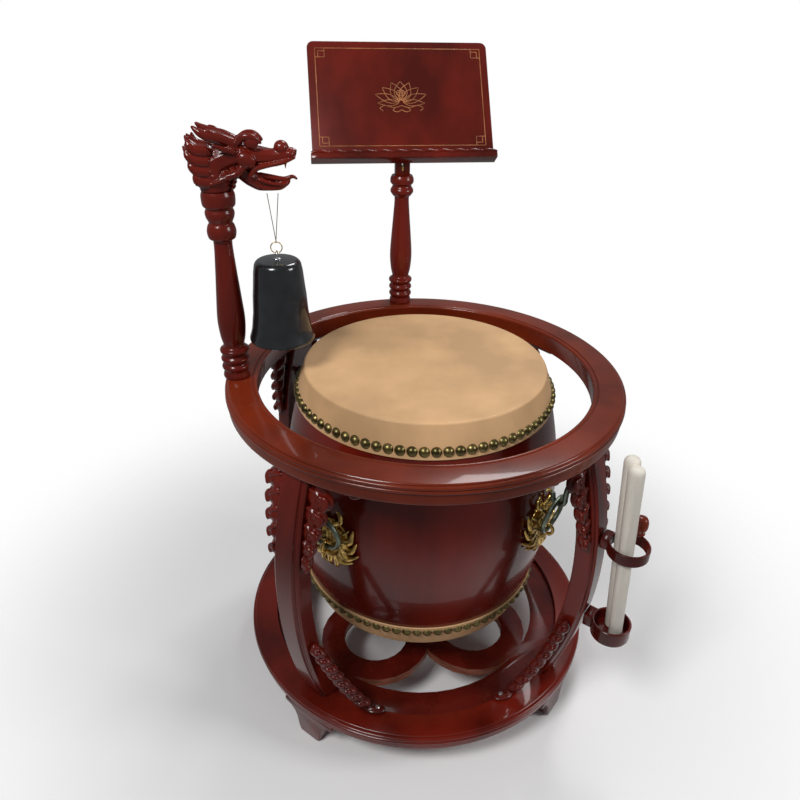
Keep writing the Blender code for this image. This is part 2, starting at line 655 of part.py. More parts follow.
def make_bell():
    face = DRAGON_AZIMUTH + 90.0
    middle = sum(CORD_HOLES) / 2
    top = RING_TOP + CORD_TOP
    ring_height = RING_TOP + SPLIT_HEIGHT
    wire_height = ring_height + SPLIT_RADIUS
    clear = SPLIT_WIRE + CORD_RADIUS + GAP
    points = []
    rise = top - wire_height
    for k in range(8):
        along = k / 8
        points.append((CORD_HOLES[0] - middle + (middle - CORD_HOLES[0]) * along, clear * along,
                       -rise * along))
    for k in range(7):
        turn = math.pi * k / 6
        points.append((0.0, clear * math.cos(turn), -rise - clear * math.sin(turn)))
    for k in range(1, 9):
        along = k / 8
        points.append(((CORD_HOLES[1] - middle) * along, -clear * (1.0 - along), -rise * (1.0 - along)))
    hang = polar(POST_RADIUS_ON_RING - middle, DRAGON_AZIMUTH, top)
    tube("bell_cord", points, CORD_RADIUS, CORD_BROWN, location=hang, azimuth=face)

    wire = [(SPLIT_RADIUS + SPLIT_WIRE * math.cos(math.pi * k / 3), SPLIT_WIRE * math.sin(math.pi * k / 3))
            for k in range(6)]
    bm = turned(wire, 16, closed=True)
    bmesh.ops.rotate(bm, verts=bm.verts, cent=(0, 0, 0), matrix=Matrix.Rotation(math.pi / 2, 3, "X"))
    bmesh.ops.translate(bm, verts=bm.verts, vec=(0, 0, ring_height - top))
    solid("bell_split_ring", bm, BRASS, location=hang, azimuth=face)

    pivot = ring_height - SPLIT_RADIUS
    eye = SPLIT_WIRE + PLAY + EYE_WIRE - EYE_RADIUS
    wire = [(EYE_RADIUS + EYE_WIRE * math.cos(math.pi * k / 3), EYE_WIRE * math.sin(math.pi * k / 3))
            for k in range(6)]
    bm = turned(wire, 14, closed=True)
    bmesh.ops.rotate(bm, verts=bm.verts, cent=(0, 0, 0), matrix=Matrix.Rotation(math.pi / 2, 3, "Y"))
    bmesh.ops.translate(bm, verts=bm.verts, vec=(0, 0, eye))
    seat = polar(POST_RADIUS_ON_RING - middle, DRAGON_AZIMUTH, pivot)
    shackle = solid("bell_shackle", bm, STEEL, location=seat, azimuth=face)
    foot = RING_TOP + BELL_CROWN + GAP - pivot
    neck = eye - EYE_RADIUS
    bm = turned([(0.0, foot), (0.0060, foot), (0.0055, foot + 0.0012), (0.0024, foot + 0.0022),
                 (0.0020, neck), (0.0, neck)], 10)
    join(shackle, solid("shackle_foot", bm, None, parent=shackle))

    crown = BELL_CROWN
    lip = BELL_LIP_DROP
    outer = [(0.0, crown), (0.0220, crown - 0.0005), (0.0310, crown - 0.0035), (0.0362, crown - 0.0095),
             (0.0382, crown - 0.0215), (0.0415, 0.140), (0.0450, lip + 0.034), (0.0470, lip + 0.019),
             (BELL_LIP_RADIUS - 0.0010, lip + 0.007), (BELL_LIP_RADIUS, lip + 0.002), (BELL_LIP_RADIUS - 0.001, lip)]
    inner = [(BELL_LIP_RADIUS - BELL_WALL, lip), (0.0470 - BELL_WALL, lip + 0.017),
             (0.0450 - BELL_WALL, lip + 0.034), (0.0382 - BELL_WALL, crown - 0.0215),
             (0.0310, crown - 0.0080), (0.0, crown - 0.0045)]
    bm = turned([(r, z + RING_TOP - pivot) for r, z in outer + inner], 24)
    solid("bell", bm, IRON, location=seat, azimuth=face)


# Desk

def make_desk():
    base = polar(POST_RADIUS_ON_RING, DESK_AZIMUTH, RING_TOP + GAP)
    profile = vase(0.210, 0.98)
    profile += [(0.0175, 0.217), (0.0215, 0.222), (0.0215, 0.227), (0.0185, 0.231), (0.0185, 0.236),
                (0.0220, 0.240), (0.0220, 0.246), (0.0195, DESK_POST_HEIGHT), (0.0, DESK_POST_HEIGHT)]
    post = solid("desk_post", turned(profile, 14), LACQUER, location=base)
    neck_depth = 0.020
    neck = box(NECK_WIDTH, neck_depth, NECK_HEIGHT + 0.004,
               (0, 0, DESK_POST_HEIGHT + NECK_HEIGHT / 2 - 0.002))
    join(post, solid("desk_neck", neck, None, parent=post))
    slot = box(TONGUE_THICK + 2 * GAP, neck_depth + 0.01, NECK_HEIGHT - 0.006,
               (0, 0, DESK_POST_HEIGHT + NECK_HEIGHT / 2 + 0.006))
    join(post, solid("desk_slot", slot, None, parent=post), "DIFFERENCE")
    pivot = base + Vector((0, 0, PIVOT_HEIGHT))
    hole = bmesh.new()
    bmesh.ops.create_cone(hole, cap_ends=True, segments=10, radius1=PIN_RADIUS + GAP,
                          radius2=PIN_RADIUS + GAP, depth=NECK_WIDTH + 0.02)
    bmesh.ops.rotate(hole, verts=hole.verts, cent=(0, 0, 0), matrix=Matrix.Rotation(math.pi / 2, 3, "Y"))
    bmesh.ops.translate(hole, verts=hole.verts, vec=(0, 0, PIVOT_HEIGHT))
    join(post, solid("desk_pin_hole", hole, None, parent=post), "DIFFERENCE")

    pin = bmesh.new()
    bmesh.ops.create_cone(pin, cap_ends=True, segments=10, radius1=PIN_RADIUS, radius2=PIN_RADIUS,
                          depth=NECK_WIDTH + 0.004)
    bmesh.ops.rotate(pin, verts=pin.verts, cent=(0, 0, 0), matrix=Matrix.Rotation(math.pi / 2, 3, "Y"))
    solid("desk_pivot_pin", pin, BRASS, location=pivot)

    # Everything on the board is drawn upright in the desk's own plane, then leaned back about the pivot
    lean = Matrix.Rotation(-BOARD_TILT, 3, "X")
    front = -(neck_depth / 2 + 0.010)
    low = -0.006
    radius = 0.012
    half = BOARD_WIDTH / 2
    outline = [(-half, low), (half, low)]
    for hand in (1.0, -1.0):
        for k in range(4):
            turn = math.radians(90.0 * k / 3)
            step = (math.cos(turn), math.sin(turn)) if hand > 0 else (-math.sin(turn), math.cos(turn))
            outline.append(((half - radius) * hand + radius * step[0],
                            low + BOARD_LENGTH - radius + radius * step[1]))
    bm = prism(outline, BOARD_THICK)
    bmesh.ops.translate(bm, verts=bm.verts, vec=(0, front - BOARD_THICK / 2, 0))
    bmesh.ops.rotate(bm, verts=bm.verts, cent=(0, 0, 0), matrix=lean)
    solid("desk_board", bm, LACQUER, location=pivot, angle=30.0)

    count = 12
    edge = []
    for k in range(count * 2 + 1):
        share = k / (count * 2)
        wave = 0.0022 * abs(math.sin(math.pi * share * count))
        edge.append((half + 0.003 - (2 * half + 0.006) * share, LEDGE_DEPTH / 2 + wave))
    outline = [(-half - 0.003, -LEDGE_DEPTH / 2), (half + 0.003, -LEDGE_DEPTH / 2)] + edge
    bm = prism(outline, LEDGE_THICK)
    bmesh.ops.rotate(bm, verts=bm.verts, cent=(0, 0, 0), matrix=Matrix.Rotation(math.pi / 2, 3, "X"))
    bmesh.ops.translate(bm, verts=bm.verts,
                        vec=(0, front - LEDGE_DEPTH / 2, low - GAP - LEDGE_THICK / 2))
    bmesh.ops.rotate(bm, verts=bm.verts, cent=(0, 0, 0), matrix=lean)
    solid("desk_ledge", bm, LACQUER, location=pivot, angle=30.0)

    plate = prism([(front + GAP, -0.002), (front + GAP, 0.044), (front + GAP + 0.006, 0.036),
                   (0.0065, 0.006), (0.0065, -0.005), (0.0020, -0.0075), (-0.006, -0.007)], TONGUE_THICK)
    bmesh.ops.rotate(plate, verts=plate.verts, cent=(0, 0, 0), matrix=Matrix.Rotation(math.pi / 2, 3, "Z"))
    bmesh.ops.rotate(plate, verts=plate.verts, cent=(0, 0, 0), matrix=lean)
    tongue = solid("desk_hinge_tongue", plate, BRASS, location=pivot)
    hole = bmesh.new()
    bmesh.ops.create_cone(hole, cap_ends=True, segments=10, radius1=PIN_RADIUS + GAP,
                          radius2=PIN_RADIUS + GAP, depth=TONGUE_THICK + 0.02)
    bmesh.ops.rotate(hole, verts=hole.verts, cent=(0, 0, 0), matrix=Matrix.Rotation(math.pi / 2, 3, "Y"))
    join(tongue, solid("tongue_hole", hole, None, parent=tongue), "DIFFERENCE")


# Drumstick holder

def make_holder():
    centre = polar(HOLDER_RADIUS, HOLDER_AZIMUTH, 0.0)
    low = LOOP_HEIGHT - LOOP_BAND / 2
    high = LOOP_HEIGHT + LOOP_BAND / 2
    inner = LOOP_OUTER - LOOP_WALL
    band = turned([(inner, low), (LOOP_OUTER, low), (LOOP_OUTER, high), (inner, high)], 24, closed=True)
    loop = solid("stick_loop", band, LACQUER_DARK, location=centre, azimuth=HOLDER_AZIMUTH)
    bulge = max(leg_outer(low), leg_outer(high))
    face = HOLDER_RADIUS - bulge - GAP
    depth = face - inner - 0.001
    lug = box(0.026, depth, LOOP_BAND, (0, inner + 0.001 + depth / 2, LOOP_HEIGHT))
    join(loop, solid("loop_lug", lug, None, parent=loop))

    low = CUP_RIM - CUP_DEPTH - CUP_FLOOR
    inner = CUP_OUTER - LOOP_WALL
    profile = [(0.0, low), (CUP_OUTER - 0.006, low), (CUP_OUTER, low + 0.006), (CUP_OUTER, CUP_RIM),
               (inner, CUP_RIM), (inner, low + CUP_FLOOR), (0.0, low + CUP_FLOOR)]
    cup = solid("stick_cup", turned(profile, 24), LACQUER_DARK, location=centre, azimuth=HOLDER_AZIMUTH)
    bulge = max(leg_outer(CUP_RIM), leg_outer(low))
    face = HOLDER_RADIUS - bulge - GAP
    depth = face - inner - 0.001
    lug = box(0.026, depth, CUP_RIM - low - 0.007, (0, inner + 0.001 + depth / 2, (low + CUP_RIM) / 2 + 0.0025))
    join(cup, solid("cup_lug", lug, None, parent=cup))

    spot = centre + polar(LOOP_OUTER - LOOP_WALL / 2, 130.0, LOOP_HEIGHT + LOOP_BAND / 2 + GAP)
    profile = [(0.0, 0.0), (0.0075, 0.0), (0.0095, 0.003), (0.0088, 0.007), (KNOB_RADIUS, 0.014),
               (KNOB_RADIUS, 0.024), (0.0088, 0.030), (0.0050, KNOB_HEIGHT - 0.001), (0.0, KNOB_HEIGHT)]
    solid("holder_knob", turned(profile, 14), LACQUER_WARM, location=spot)

    floor = CUP_RIM - CUP_DEPTH
    lean_way = polar(1.0, STICK_LEAN_AZIMUTH, 0.0)
    across = polar(1.0, STICK_LEAN_AZIMUTH + 90.0, 0.0)
    axis = (Vector((0, 0, 1)) * math.cos(STICK_LEAN) + lean_way * math.sin(STICK_LEAN)).normalized()
    turn = Vector((0, 0, 1)).rotation_difference(axis)
    lift = STICK_FOOT * math.sin(STICK_LEAN) + GAP
    for number, hand in ((1, 1.0), (2, -1.0)):
        profile = [(0.0, 0.0), (STICK_FOOT - 0.0025, 0.0), (STICK_FOOT, 0.003), (STICK_HEAD, STICK_LENGTH - 0.010),
                   (STICK_HEAD - 0.003, STICK_LENGTH - 0.0025), (STICK_HEAD - 0.007, STICK_LENGTH),
                   (0.0, STICK_LENGTH)]
        stick = solid("drumstick_%d" % number, turned(profile, 14), STICK_WOOD,
                      location=centre + Vector((0, 0, floor + lift)) - lean_way * STICK_SHIFT
                      + across * (STICK_SPREAD * hand))
        stick.rotation_euler = turn.to_euler()


make_base()
for side, azimuth in LEG_AZIMUTHS.items():
    make_foot(side, azimuth)
    make_leg(side, azimuth)
    make_upper_bracket(side, -1.0, azimuth)
    make_upper_bracket(side, 1.0, azimuth)
    make_mask(side, azimuth)
    make_handle(side, azimuth)
    make_hook(side, azimuth)
make_lower_brace("fl", 1.0, LEG_AZIMUTHS["fl"])
make_lower_brace("fr", -1.0, LEG_AZIMUTHS["fr"])
make_lower_brace("bl", -1.0, LEG_AZIMUTHS["bl"])
make_lower_brace("br", 1.0, LEG_AZIMUTHS["br"])
make_top_ring()
make_drum()
make_dragon_post()
make_dragon_head()
make_bell()
make_desk()
make_holder()
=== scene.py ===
import json
import math

import bmesh
import bpy
from bpy.props import FloatProperty, FloatVectorProperty, IntProperty, PointerProperty
from bpy.types import Operator, Panel, PropertyGroup
from mathutils import Matrix, Vector


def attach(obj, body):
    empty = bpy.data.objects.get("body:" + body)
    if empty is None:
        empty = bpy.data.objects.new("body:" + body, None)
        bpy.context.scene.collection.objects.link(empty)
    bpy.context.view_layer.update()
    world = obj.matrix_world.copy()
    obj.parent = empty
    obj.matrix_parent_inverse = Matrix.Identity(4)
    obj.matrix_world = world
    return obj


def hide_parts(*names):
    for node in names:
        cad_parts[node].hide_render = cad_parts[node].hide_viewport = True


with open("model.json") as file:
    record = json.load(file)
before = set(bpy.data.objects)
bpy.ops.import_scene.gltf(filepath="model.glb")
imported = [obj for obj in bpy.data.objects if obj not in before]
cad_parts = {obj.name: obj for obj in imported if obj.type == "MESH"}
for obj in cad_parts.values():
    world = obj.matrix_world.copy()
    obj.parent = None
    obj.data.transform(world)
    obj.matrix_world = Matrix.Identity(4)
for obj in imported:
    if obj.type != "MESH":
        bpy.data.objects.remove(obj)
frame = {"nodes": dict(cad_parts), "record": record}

bl_info = {
    "name": "Temple drum",
    "version": (1, 0, 0),
    "blender": (4, 5, 0),
    "location": "View3D > Sidebar > Temple drum",
    "description": "Builds the looks of a temple drum on its stand, with its bell, desk and drumsticks",
    "category": "Object",
}

LEGS = {"fl": -45.0, "fr": 45.0, "bl": -135.0, "br": 135.0}
BRACES = {"fl": 1.0, "fr": -1.0, "bl": -1.0, "br": 1.0}
BELL_AZIMUTH = -92.0
DESK_AZIMUTH = 180.0
HOLDER_AZIMUTH = 45.0
HANDLE_LEAN = 10.0
DESK_TILT = 34.5
GAP = 0.0003


def tint(name, value):
    return FloatVectorProperty(name=name, description="Colour of the " + name.lower(), subtype="COLOR",
                               size=3, min=0.0, max=1.0, default=value)


def length(name, value):
    return FloatProperty(name=name, description=name + " in metres", unit="LENGTH", precision=4,
                         default=value)


class TempleDrumSizes(PropertyGroup):
    axis_x: length("Stand axis along X", 0.01182)
    axis_y: length("Stand axis along Y", -0.04176)
    ring_top: length("Top of the ring", 0.612)
    ring_outer: length("Ring outer radius", 0.330)
    ring_inner: length("Ring inner radius", 0.2775)
    ring_thick: length("Ring thickness", 0.034)
    base_top: length("Top of the base", 0.096)
    base_outer: length("Base outer radius", 0.329)
    leg_width: length("Leg width", 0.050)
    leg_depth: length("Leg depth", 0.034)
    leg_bow: length("Bow of a leg", 0.043)
    drum_height: length("Drum height", 0.448)
    drum_rise: length("Drum above the ring", 0.016)
    shell_belly: length("Shell radius at the belly", 0.241)
    shell_end: length("Shell radius at the ends", 0.200)
    hide_turn: length("Hide turned down", 0.052)
    nail_drop: length("Nails below the face", 0.040)
    nail_radius: length("Nail head radius", 0.0083)
    nails: IntProperty(name="Nails", description="How many nails are in a row", default=76, min=3)
    mouth_radius: length("Staples from the stand's axis", 0.2570)
    mouth_height: length("Staple height", 0.402)
    handle_radius: length("Ring handle radius", 0.0325)
    handle_wire: length("Ring handle wire radius", 0.0040)
    post_radius: length("Posts from the stand's axis", 0.3105)
    holder_radius: length("Stick holder from the stand's axis", 0.390)
    board_width: length("Desk board width", 0.334)
    board_length: length("Desk board length", 0.217)
    cord_top: length("Height of the cord's upper end", 0.9065)
    cord_thick: length("Cord thickness", 0.0012)


class TempleDrumColours(PropertyGroup):
    lacquer: tint("Lacquer", (0.118, 0.0084, 0.0036))
    # lacquer_dark is a darker copy of the same lacquer: painted shade for the parts low under the drum
    # and the ring
    lacquer_dark: tint("Dark lacquer", (0.078, 0.0056, 0.0032))
    # lacquer_warm is a lighter, warmer copy of the same lacquer: painted light for the lit top ring and
    # the knob
    lacquer_warm: tint("Warm lacquer", (0.165, 0.0200, 0.0052))
    cut_wood: tint("Cut wood", (0.200, 0.055, 0.026))
    hide: tint("Hide", (0.660, 0.405, 0.205))
    nail_metal: tint("Nails", (0.170, 0.135, 0.050))
    gilt: tint("Gilt", (0.640, 0.430, 0.130))
    bronze: tint("Bronze", (0.210, 0.250, 0.190))
    brass: tint("Brass", (0.700, 0.500, 0.190))
    iron: tint("Iron", (0.010, 0.012, 0.014))
    steel: tint("Steel", (0.520, 0.530, 0.550))
    cord_brown: tint("Cord", (0.150, 0.120, 0.080))
    stick_wood: tint("Drumsticks", (0.820, 0.765, 0.670))
    inlay: tint("Carved line", (0.480, 0.190, 0.070))
    floor: tint("Floor", (0.930, 0.930, 0.930))


# How each finish looks: roughness, metallic, coat, pattern scale, colour spread, stretch and bump
FINISHES = {
    "lacquer": (0.24, 0.0, 0.32, 9.0, 0.36, (1.0, 1.0, 0.25), 0.0),
    # lacquer_dark: the lacquer with painted shade, darker than the lacquer itself
    "lacquer_dark": (0.26, 0.0, 0.32, 12.0, 0.36, (1.0, 1.0, 1.0), 0.0),
    # lacquer_warm: the lacquer with painted light, lighter and warmer than the lacquer itself
    "lacquer_warm": (0.24, 0.0, 0.32, 5.0, 0.36, (1.0, 1.0, 1.0), 0.0),
    "cut_wood": (0.45, 0.0, 0.0, 30.0, 0.35, (1.0, 1.0, 6.0), 0.0),
    "hide": (0.50, 0.0, 0.06, 7.0, 0.15, (1.0, 1.0, 1.0), 0.0003),
    "nail_metal": (0.34, 0.9, 0.0, 70.0, 0.35, (1.0, 1.0, 1.0), 0.0),
    "gilt": (0.27, 0.95, 0.0, 90.0, 0.45, (1.0, 1.0, 1.0), 0.0004),
    "bronze": (0.36, 0.9, 0.0, 60.0, 0.35, (1.0, 1.0, 1.0), 0.0),
    "brass": (0.25, 1.0, 0.0, 60.0, 0.10, (1.0, 1.0, 1.0), 0.0),
    "iron": (0.22, 0.2, 0.80, 40.0, 0.30, (1.0, 1.0, 1.0), 0.0),
    "steel": (0.28, 1.0, 0.0, 50.0, 0.10, (1.0, 1.0, 1.0), 0.0),
    "cord_brown": (0.85, 0.0, 0.0, 900.0, 0.50, (1.0, 1.0, 1.0), 0.0002),
    "stick_wood": (0.50, 0.0, 0.0, 9.0, 0.07, (8.0, 8.0, 1.0), 0.0),
    "inlay": (0.40, 0.0, 0.0, 40.0, 0.30, (1.0, 1.0, 1.0), 0.0),
}


def sizes():
    return bpy.context.scene.temple_drum_sizes


def polar(radius, azimuth, height):
    turn = math.radians(azimuth)
    size = sizes()
    return Vector((radius * math.sin(turn) + size.axis_x, -radius * math.cos(turn) + size.axis_y, height))


def placed(radius, azimuth, height, turn=0.0):
    return Matrix.Translation(polar(radius, azimuth, height)) @ Matrix.Rotation(math.radians(turn), 4,
                                                                                "Z")


# Materials

def finish(name):
    found = bpy.data.materials.get("drum_" + name)
    if found:
        return found
    roughness, metallic, coat, grain, spread, stretch, bump = FINISHES[name]
    base = tuple(getattr(bpy.context.scene.temple_drum_colours, name))
    made = bpy.data.materials.new("drum_" + name)
    made.use_nodes = True
    nodes = made.node_tree.nodes
    links = made.node_tree.links
    shader = nodes["Principled BSDF"]
    where = nodes.new("ShaderNodeTexCoord")
    mapping = nodes.new("ShaderNodeMapping")
    mapping.inputs["Scale"].default_value = stretch
    noise = nodes.new("ShaderNodeTexNoise")
    noise.inputs["Scale"].default_value = grain
    noise.inputs["Detail"].default_value = 5.0
    ramp = nodes.new("ShaderNodeValToRGB")
    low, high = ramp.color_ramp.elements
    low.position = 0.38
    low.color = (*[c * (1.0 - spread) for c in base], 1.0)
    high.position = 0.62
    high.color = (*[min(c * (1.0 + spread), 1.0) for c in base], 1.0)
    rough = nodes.new("ShaderNodeMapRange")
    rough.inputs["To Min"].default_value = roughness * 0.75
    rough.inputs["To Max"].default_value = roughness * 1.30
    links.new(where.outputs["Object"], mapping.inputs["Vector"])
    links.new(mapping.outputs["Vector"], noise.inputs["Vector"])
    links.new(noise.outputs["Fac"], ramp.inputs["Fac"])
    links.new(noise.outputs["Fac"], rough.inputs["Value"])
    links.new(ramp.outputs["Color"], shader.inputs["Base Color"])
    links.new(rough.outputs["Result"], shader.inputs["Roughness"])
    shader.inputs["Metallic"].default_value = metallic
    shader.inputs["Coat Weight"].default_value = coat
    shader.inputs["Coat Roughness"].default_value = 0.04
    if name.startswith("lacquer") or name == "hide":
        shader.inputs["Specular IOR Level"].default_value = 0.20
    if bump:
        relief = nodes.new("ShaderNodeBump")
        relief.inputs["Distance"].default_value = bump
        links.new(noise.outputs["Fac"], relief.inputs["Height"])
        links.new(relief.outputs["Normal"], shader.inputs["Normal"])
    return made


# Building helpers

def piece(name, bm, body, slot, nodes=(), angle=35.0, place=None):
    # A finished piece stands at the origin: its place is in its mesh
    bmesh.ops.recalc_face_normals(bm, faces=bm.faces)
    mesh = bpy.data.meshes.new(name)
    bm.to_mesh(mesh)
    bm.free()
    mesh.shade_smooth()
    mesh.set_sharp_from_angle(angle=math.radians(angle))
    if place is not None:
        mesh.transform(place)
    mesh.materials.append(finish(slot))
    obj = bpy.data.objects.new(name, mesh)
    bpy.context.scene.collection.objects.link(obj)
    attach(obj, body)
    if nodes:
        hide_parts(*nodes)
    return obj


def turned(profile, steps, closed=False):
    bm = bmesh.new()
    verts = [bm.verts.new((r, 0.0, z)) for r, z in profile]
    pairs = list(zip(verts, verts[1:]))
    if closed:
        pairs.append((verts[-1], verts[0]))
    edges = [bm.edges.new(pair) for pair in pairs]
    bmesh.ops.spin(bm, geom=verts + edges, cent=(0, 0, 0), axis=(0, 0, 1), dvec=(0, 0, 0),
                   angle=2 * math.pi, steps=steps, use_merge=True, use_duplicate=False)
    bmesh.ops.remove_doubles(bm, verts=bm.verts, dist=1e-6)
    return bm


def arc(centre_r, centre_z, radius, start, end, count=6):
    # Points on a profile's rounding, angles in degrees from the outward direction
    points = []
    for k in range(count + 1):
        turn = math.radians(start + (end - start) * k / count)
        points.append((centre_r + radius * math.cos(turn), centre_z + radius * math.sin(turn)))
    return points


def eased(points, cuts=5):
    # A smooth line through the points, which keeps both ends
    points = [Vector(point) for point in points]
    line = []
    for k in range(len(points) - 1):
        before = points[max(k - 1, 0)]
        here, there = points[k], points[k + 1]
        after = points[min(k + 2, len(points) - 1)]
        for step in range(cuts):
            t = step / cuts
            line.append(tuple(0.5 * ((2 * here) + (there - before) * t
                                     + (2 * before - 5 * here + 4 * there - after) * t * t
                                     + (3 * here - before - 3 * there + after) * t ** 3)))
    line.append(tuple(points[-1]))
    return line


def torus(radius, wire, steps=48, sides=10):
    ring = [(radius + wire * math.cos(2 * math.pi * k / sides), wire * math.sin(2 * math.pi * k / sides))
            for k in range(sides)]
    return turned(ring, steps, closed=True)


def spun(bm, angle, axis):
    bmesh.ops.rotate(bm, verts=bm.verts, cent=(0, 0, 0), matrix=Matrix.Rotation(math.radians(angle), 3,
                                                                                axis))
    return bm


def shifted(bm, x, y, z):
    bmesh.ops.translate(bm, verts=bm.verts, vec=(x, y, z))
    return bm


def merge(bm, other):
    spare = bpy.data.meshes.new("spare")
    other.to_mesh(spare)
    other.free()
    bm.from_mesh(spare)
    bpy.data.meshes.remove(spare)
    return bm


def block(width, depth, height, centre, bevel):
    bm = bmesh.new()
    matrix = Matrix.Translation(centre) @ Matrix.Diagonal((width, depth, height, 1.0))
    bmesh.ops.create_cube(bm, size=1.0, matrix=matrix)
    bmesh.ops.bevel(bm, geom=bm.edges[:], offset=bevel, affect="EDGES", segments=2, profile=0.5,
                    material=-1)
    return bm


def ball(bm, centre, radii, pitch=0.0):
    # An egg with a radius for each axis, turned about Y
    turn = Matrix.Rotation(math.radians(pitch), 4, "Y") @ Matrix.Diagonal((*radii, 1.0))
    bmesh.ops.create_uvsphere(bm, u_segments=14, v_segments=9, radius=1.0,
                              matrix=Matrix.Translation(centre) @ turn)


def strand(bm, points, cuts=4):
    # A tapering rounded bar: each point holds x, y, z and the bar's radius there
    path = eased([point[:3] for point in points], cuts)
    last = points[0][3]
    for k, spot in enumerate(path):
        low = min(k // cuts, len(points) - 2)
        radius = points[low][3] + (points[low + 1][3] - points[low][3]) * (k / cuts - low)
        matrix = Matrix.Translation(spot) @ Matrix.Diagonal((radius, radius, radius, 1.0))
        bmesh.ops.create_icosphere(bm, subdivisions=1, radius=1.0, matrix=matrix)
        if k:
            start = Vector(path[k - 1])
            run = Vector(spot) - start
            turn = run.to_track_quat("Z", "Y").to_matrix().to_4x4()
            bmesh.ops.create_cone(bm, cap_ends=True, segments=10, radius1=last, radius2=radius,
                                  depth=run.length, matrix=Matrix.Translation(start + run / 2) @ turn)
        last = radius


def pair(bm, axis, points):
    # The same bar on both sides of the middle: axis 0 mirrors X, axis 1 mirrors Y
    for hand in (-1.0, 1.0):
        strand(bm, [[value * hand if k == axis else value for k,
                     value in enumerate(point)] for point in points])


def melted(bm, voxel):
    mesh = bpy.data.meshes.new("rough")
    bm.to_mesh(mesh)
    bm.free()
    rough = bpy.data.objects.new("rough", mesh)
    bpy.context.scene.collection.objects.link(rough)
    skin = rough.modifiers.new("skin", "REMESH")
    skin.mode = "VOXEL"
    skin.voxel_size = voxel
    graph = bpy.context.evaluated_depsgraph_get()
    done = bpy.data.meshes.new_from_object(rough.evaluated_get(graph), depsgraph=graph)
    bpy.data.objects.remove(rough)
    bpy.data.meshes.remove(mesh)
    result = bmesh.new()
    result.from_mesh(done)
    bpy.data.meshes.remove(done)
    bmesh.ops.smooth_vert(result, verts=result.verts, factor=0.5, use_axis_x=True, use_axis_y=True,
                          use_axis_z=True)
    return result


def kept(bm, name):
    # The shape as a mesh, to be used more than once
    mesh = bpy.data.meshes.new(name)
    bm.to_mesh(mesh)
    bm.free()
    return mesh


def tube_mesh(paths, radius, radii=None, sides=2):
    # Round lines through the paths, as one bmesh
    curve = bpy.data.curves.new("line", "CURVE")
    curve.dimensions = "3D"
    curve.bevel_depth = radius
    curve.bevel_resolution = sides
    curve.use_fill_caps = True
    for path in paths:
        spline = curve.splines.new("POLY")
        spline.points.add(len(path) - 1)
        for k, point in enumerate(path):
            spline.points[k].co = (*point, 1.0)
            spline.points[k].radius = radii[k] if radii else 1.0
    obj = bpy.data.objects.new("line", curve)
    bpy.context.scene.collection.objects.link(obj)
    graph = bpy.context.evaluated_depsgraph_get()
    mesh = bpy.data.meshes.new_from_object(obj.evaluated_get(graph), depsgraph=graph)
    bm = bmesh.new()
    bm.from_mesh(mesh)
    bpy.data.meshes.remove(mesh)
    bpy.data.objects.remove(obj)
    bpy.data.curves.remove(curve)
    return bm


def softened(name, node, body, slot, width):
    # The CAD node's own shape with its edges eased
    bm = bmesh.new()
    bm.from_mesh(frame["nodes"][node].data)
    bmesh.ops.remove_doubles(bm, verts=bm.verts, dist=1e-5)
    bmesh.ops.dissolve_limit(bm, angle_limit=math.radians(1.0), verts=bm.verts, edges=bm.edges)
    sharp = [edge for edge in bm.edges
             if len(edge.link_faces) == 2 and edge.calc_face_angle(0) > math.radians(35)]
    bmesh.ops.bevel(bm, geom=sharp, offset=width, affect="EDGES", segments=2, profile=0.5, material=-1,
                    clamp_overlap=True)
    return piece(name, bm, body, slot, [node])


def shell_radius(offset):
    size = sizes()
    along = min(abs(offset) / (size.drum_height / 2 - 0.0033), 1.0)
    return size.shell_belly - (size.shell_belly - size.shell_end) * along ** 1.8


def drum_middle():
    size = sizes()
    return size.ring_top + size.drum_rise - size.drum_height / 2


def leg_outer(height):
    size = sizes()
    low = size.base_top
    high = size.ring_top - size.ring_thick
    along = (height - low) / (high - low)
    return 0.300 + 0.016 * along + size.leg_bow * (1.0 - (2.0 * along - 1.0) ** 2)


def on_leg(bm, inset):
    # Carry a flat carving out to the leg's bow and round the ring's curve
    size = sizes()
    for vert in bm.verts:
        height = min(max(vert.co.z, size.base_top), size.ring_top - size.ring_thick)
        radius = leg_outer(height) - inset - vert.co.y
        vert.co.y = -math.sqrt(radius * radius - vert.co.x * vert.co.x)


# Operators

class TEMPLE_OT_finishes(Operator):
    """Give every CAD node its finish"""
    bl_idname = "temple_drum.finishes"
    bl_label = "Finishes"

    def execute(self, context):
        slots = {item["node"]: item["material_slot"] for item in frame["record"]["subparts"]}
        for name, node in frame["nodes"].items():
            node.data.materials.clear()
            node.data.materials.append(finish(slots[name]))
        return {"FINISHED"}


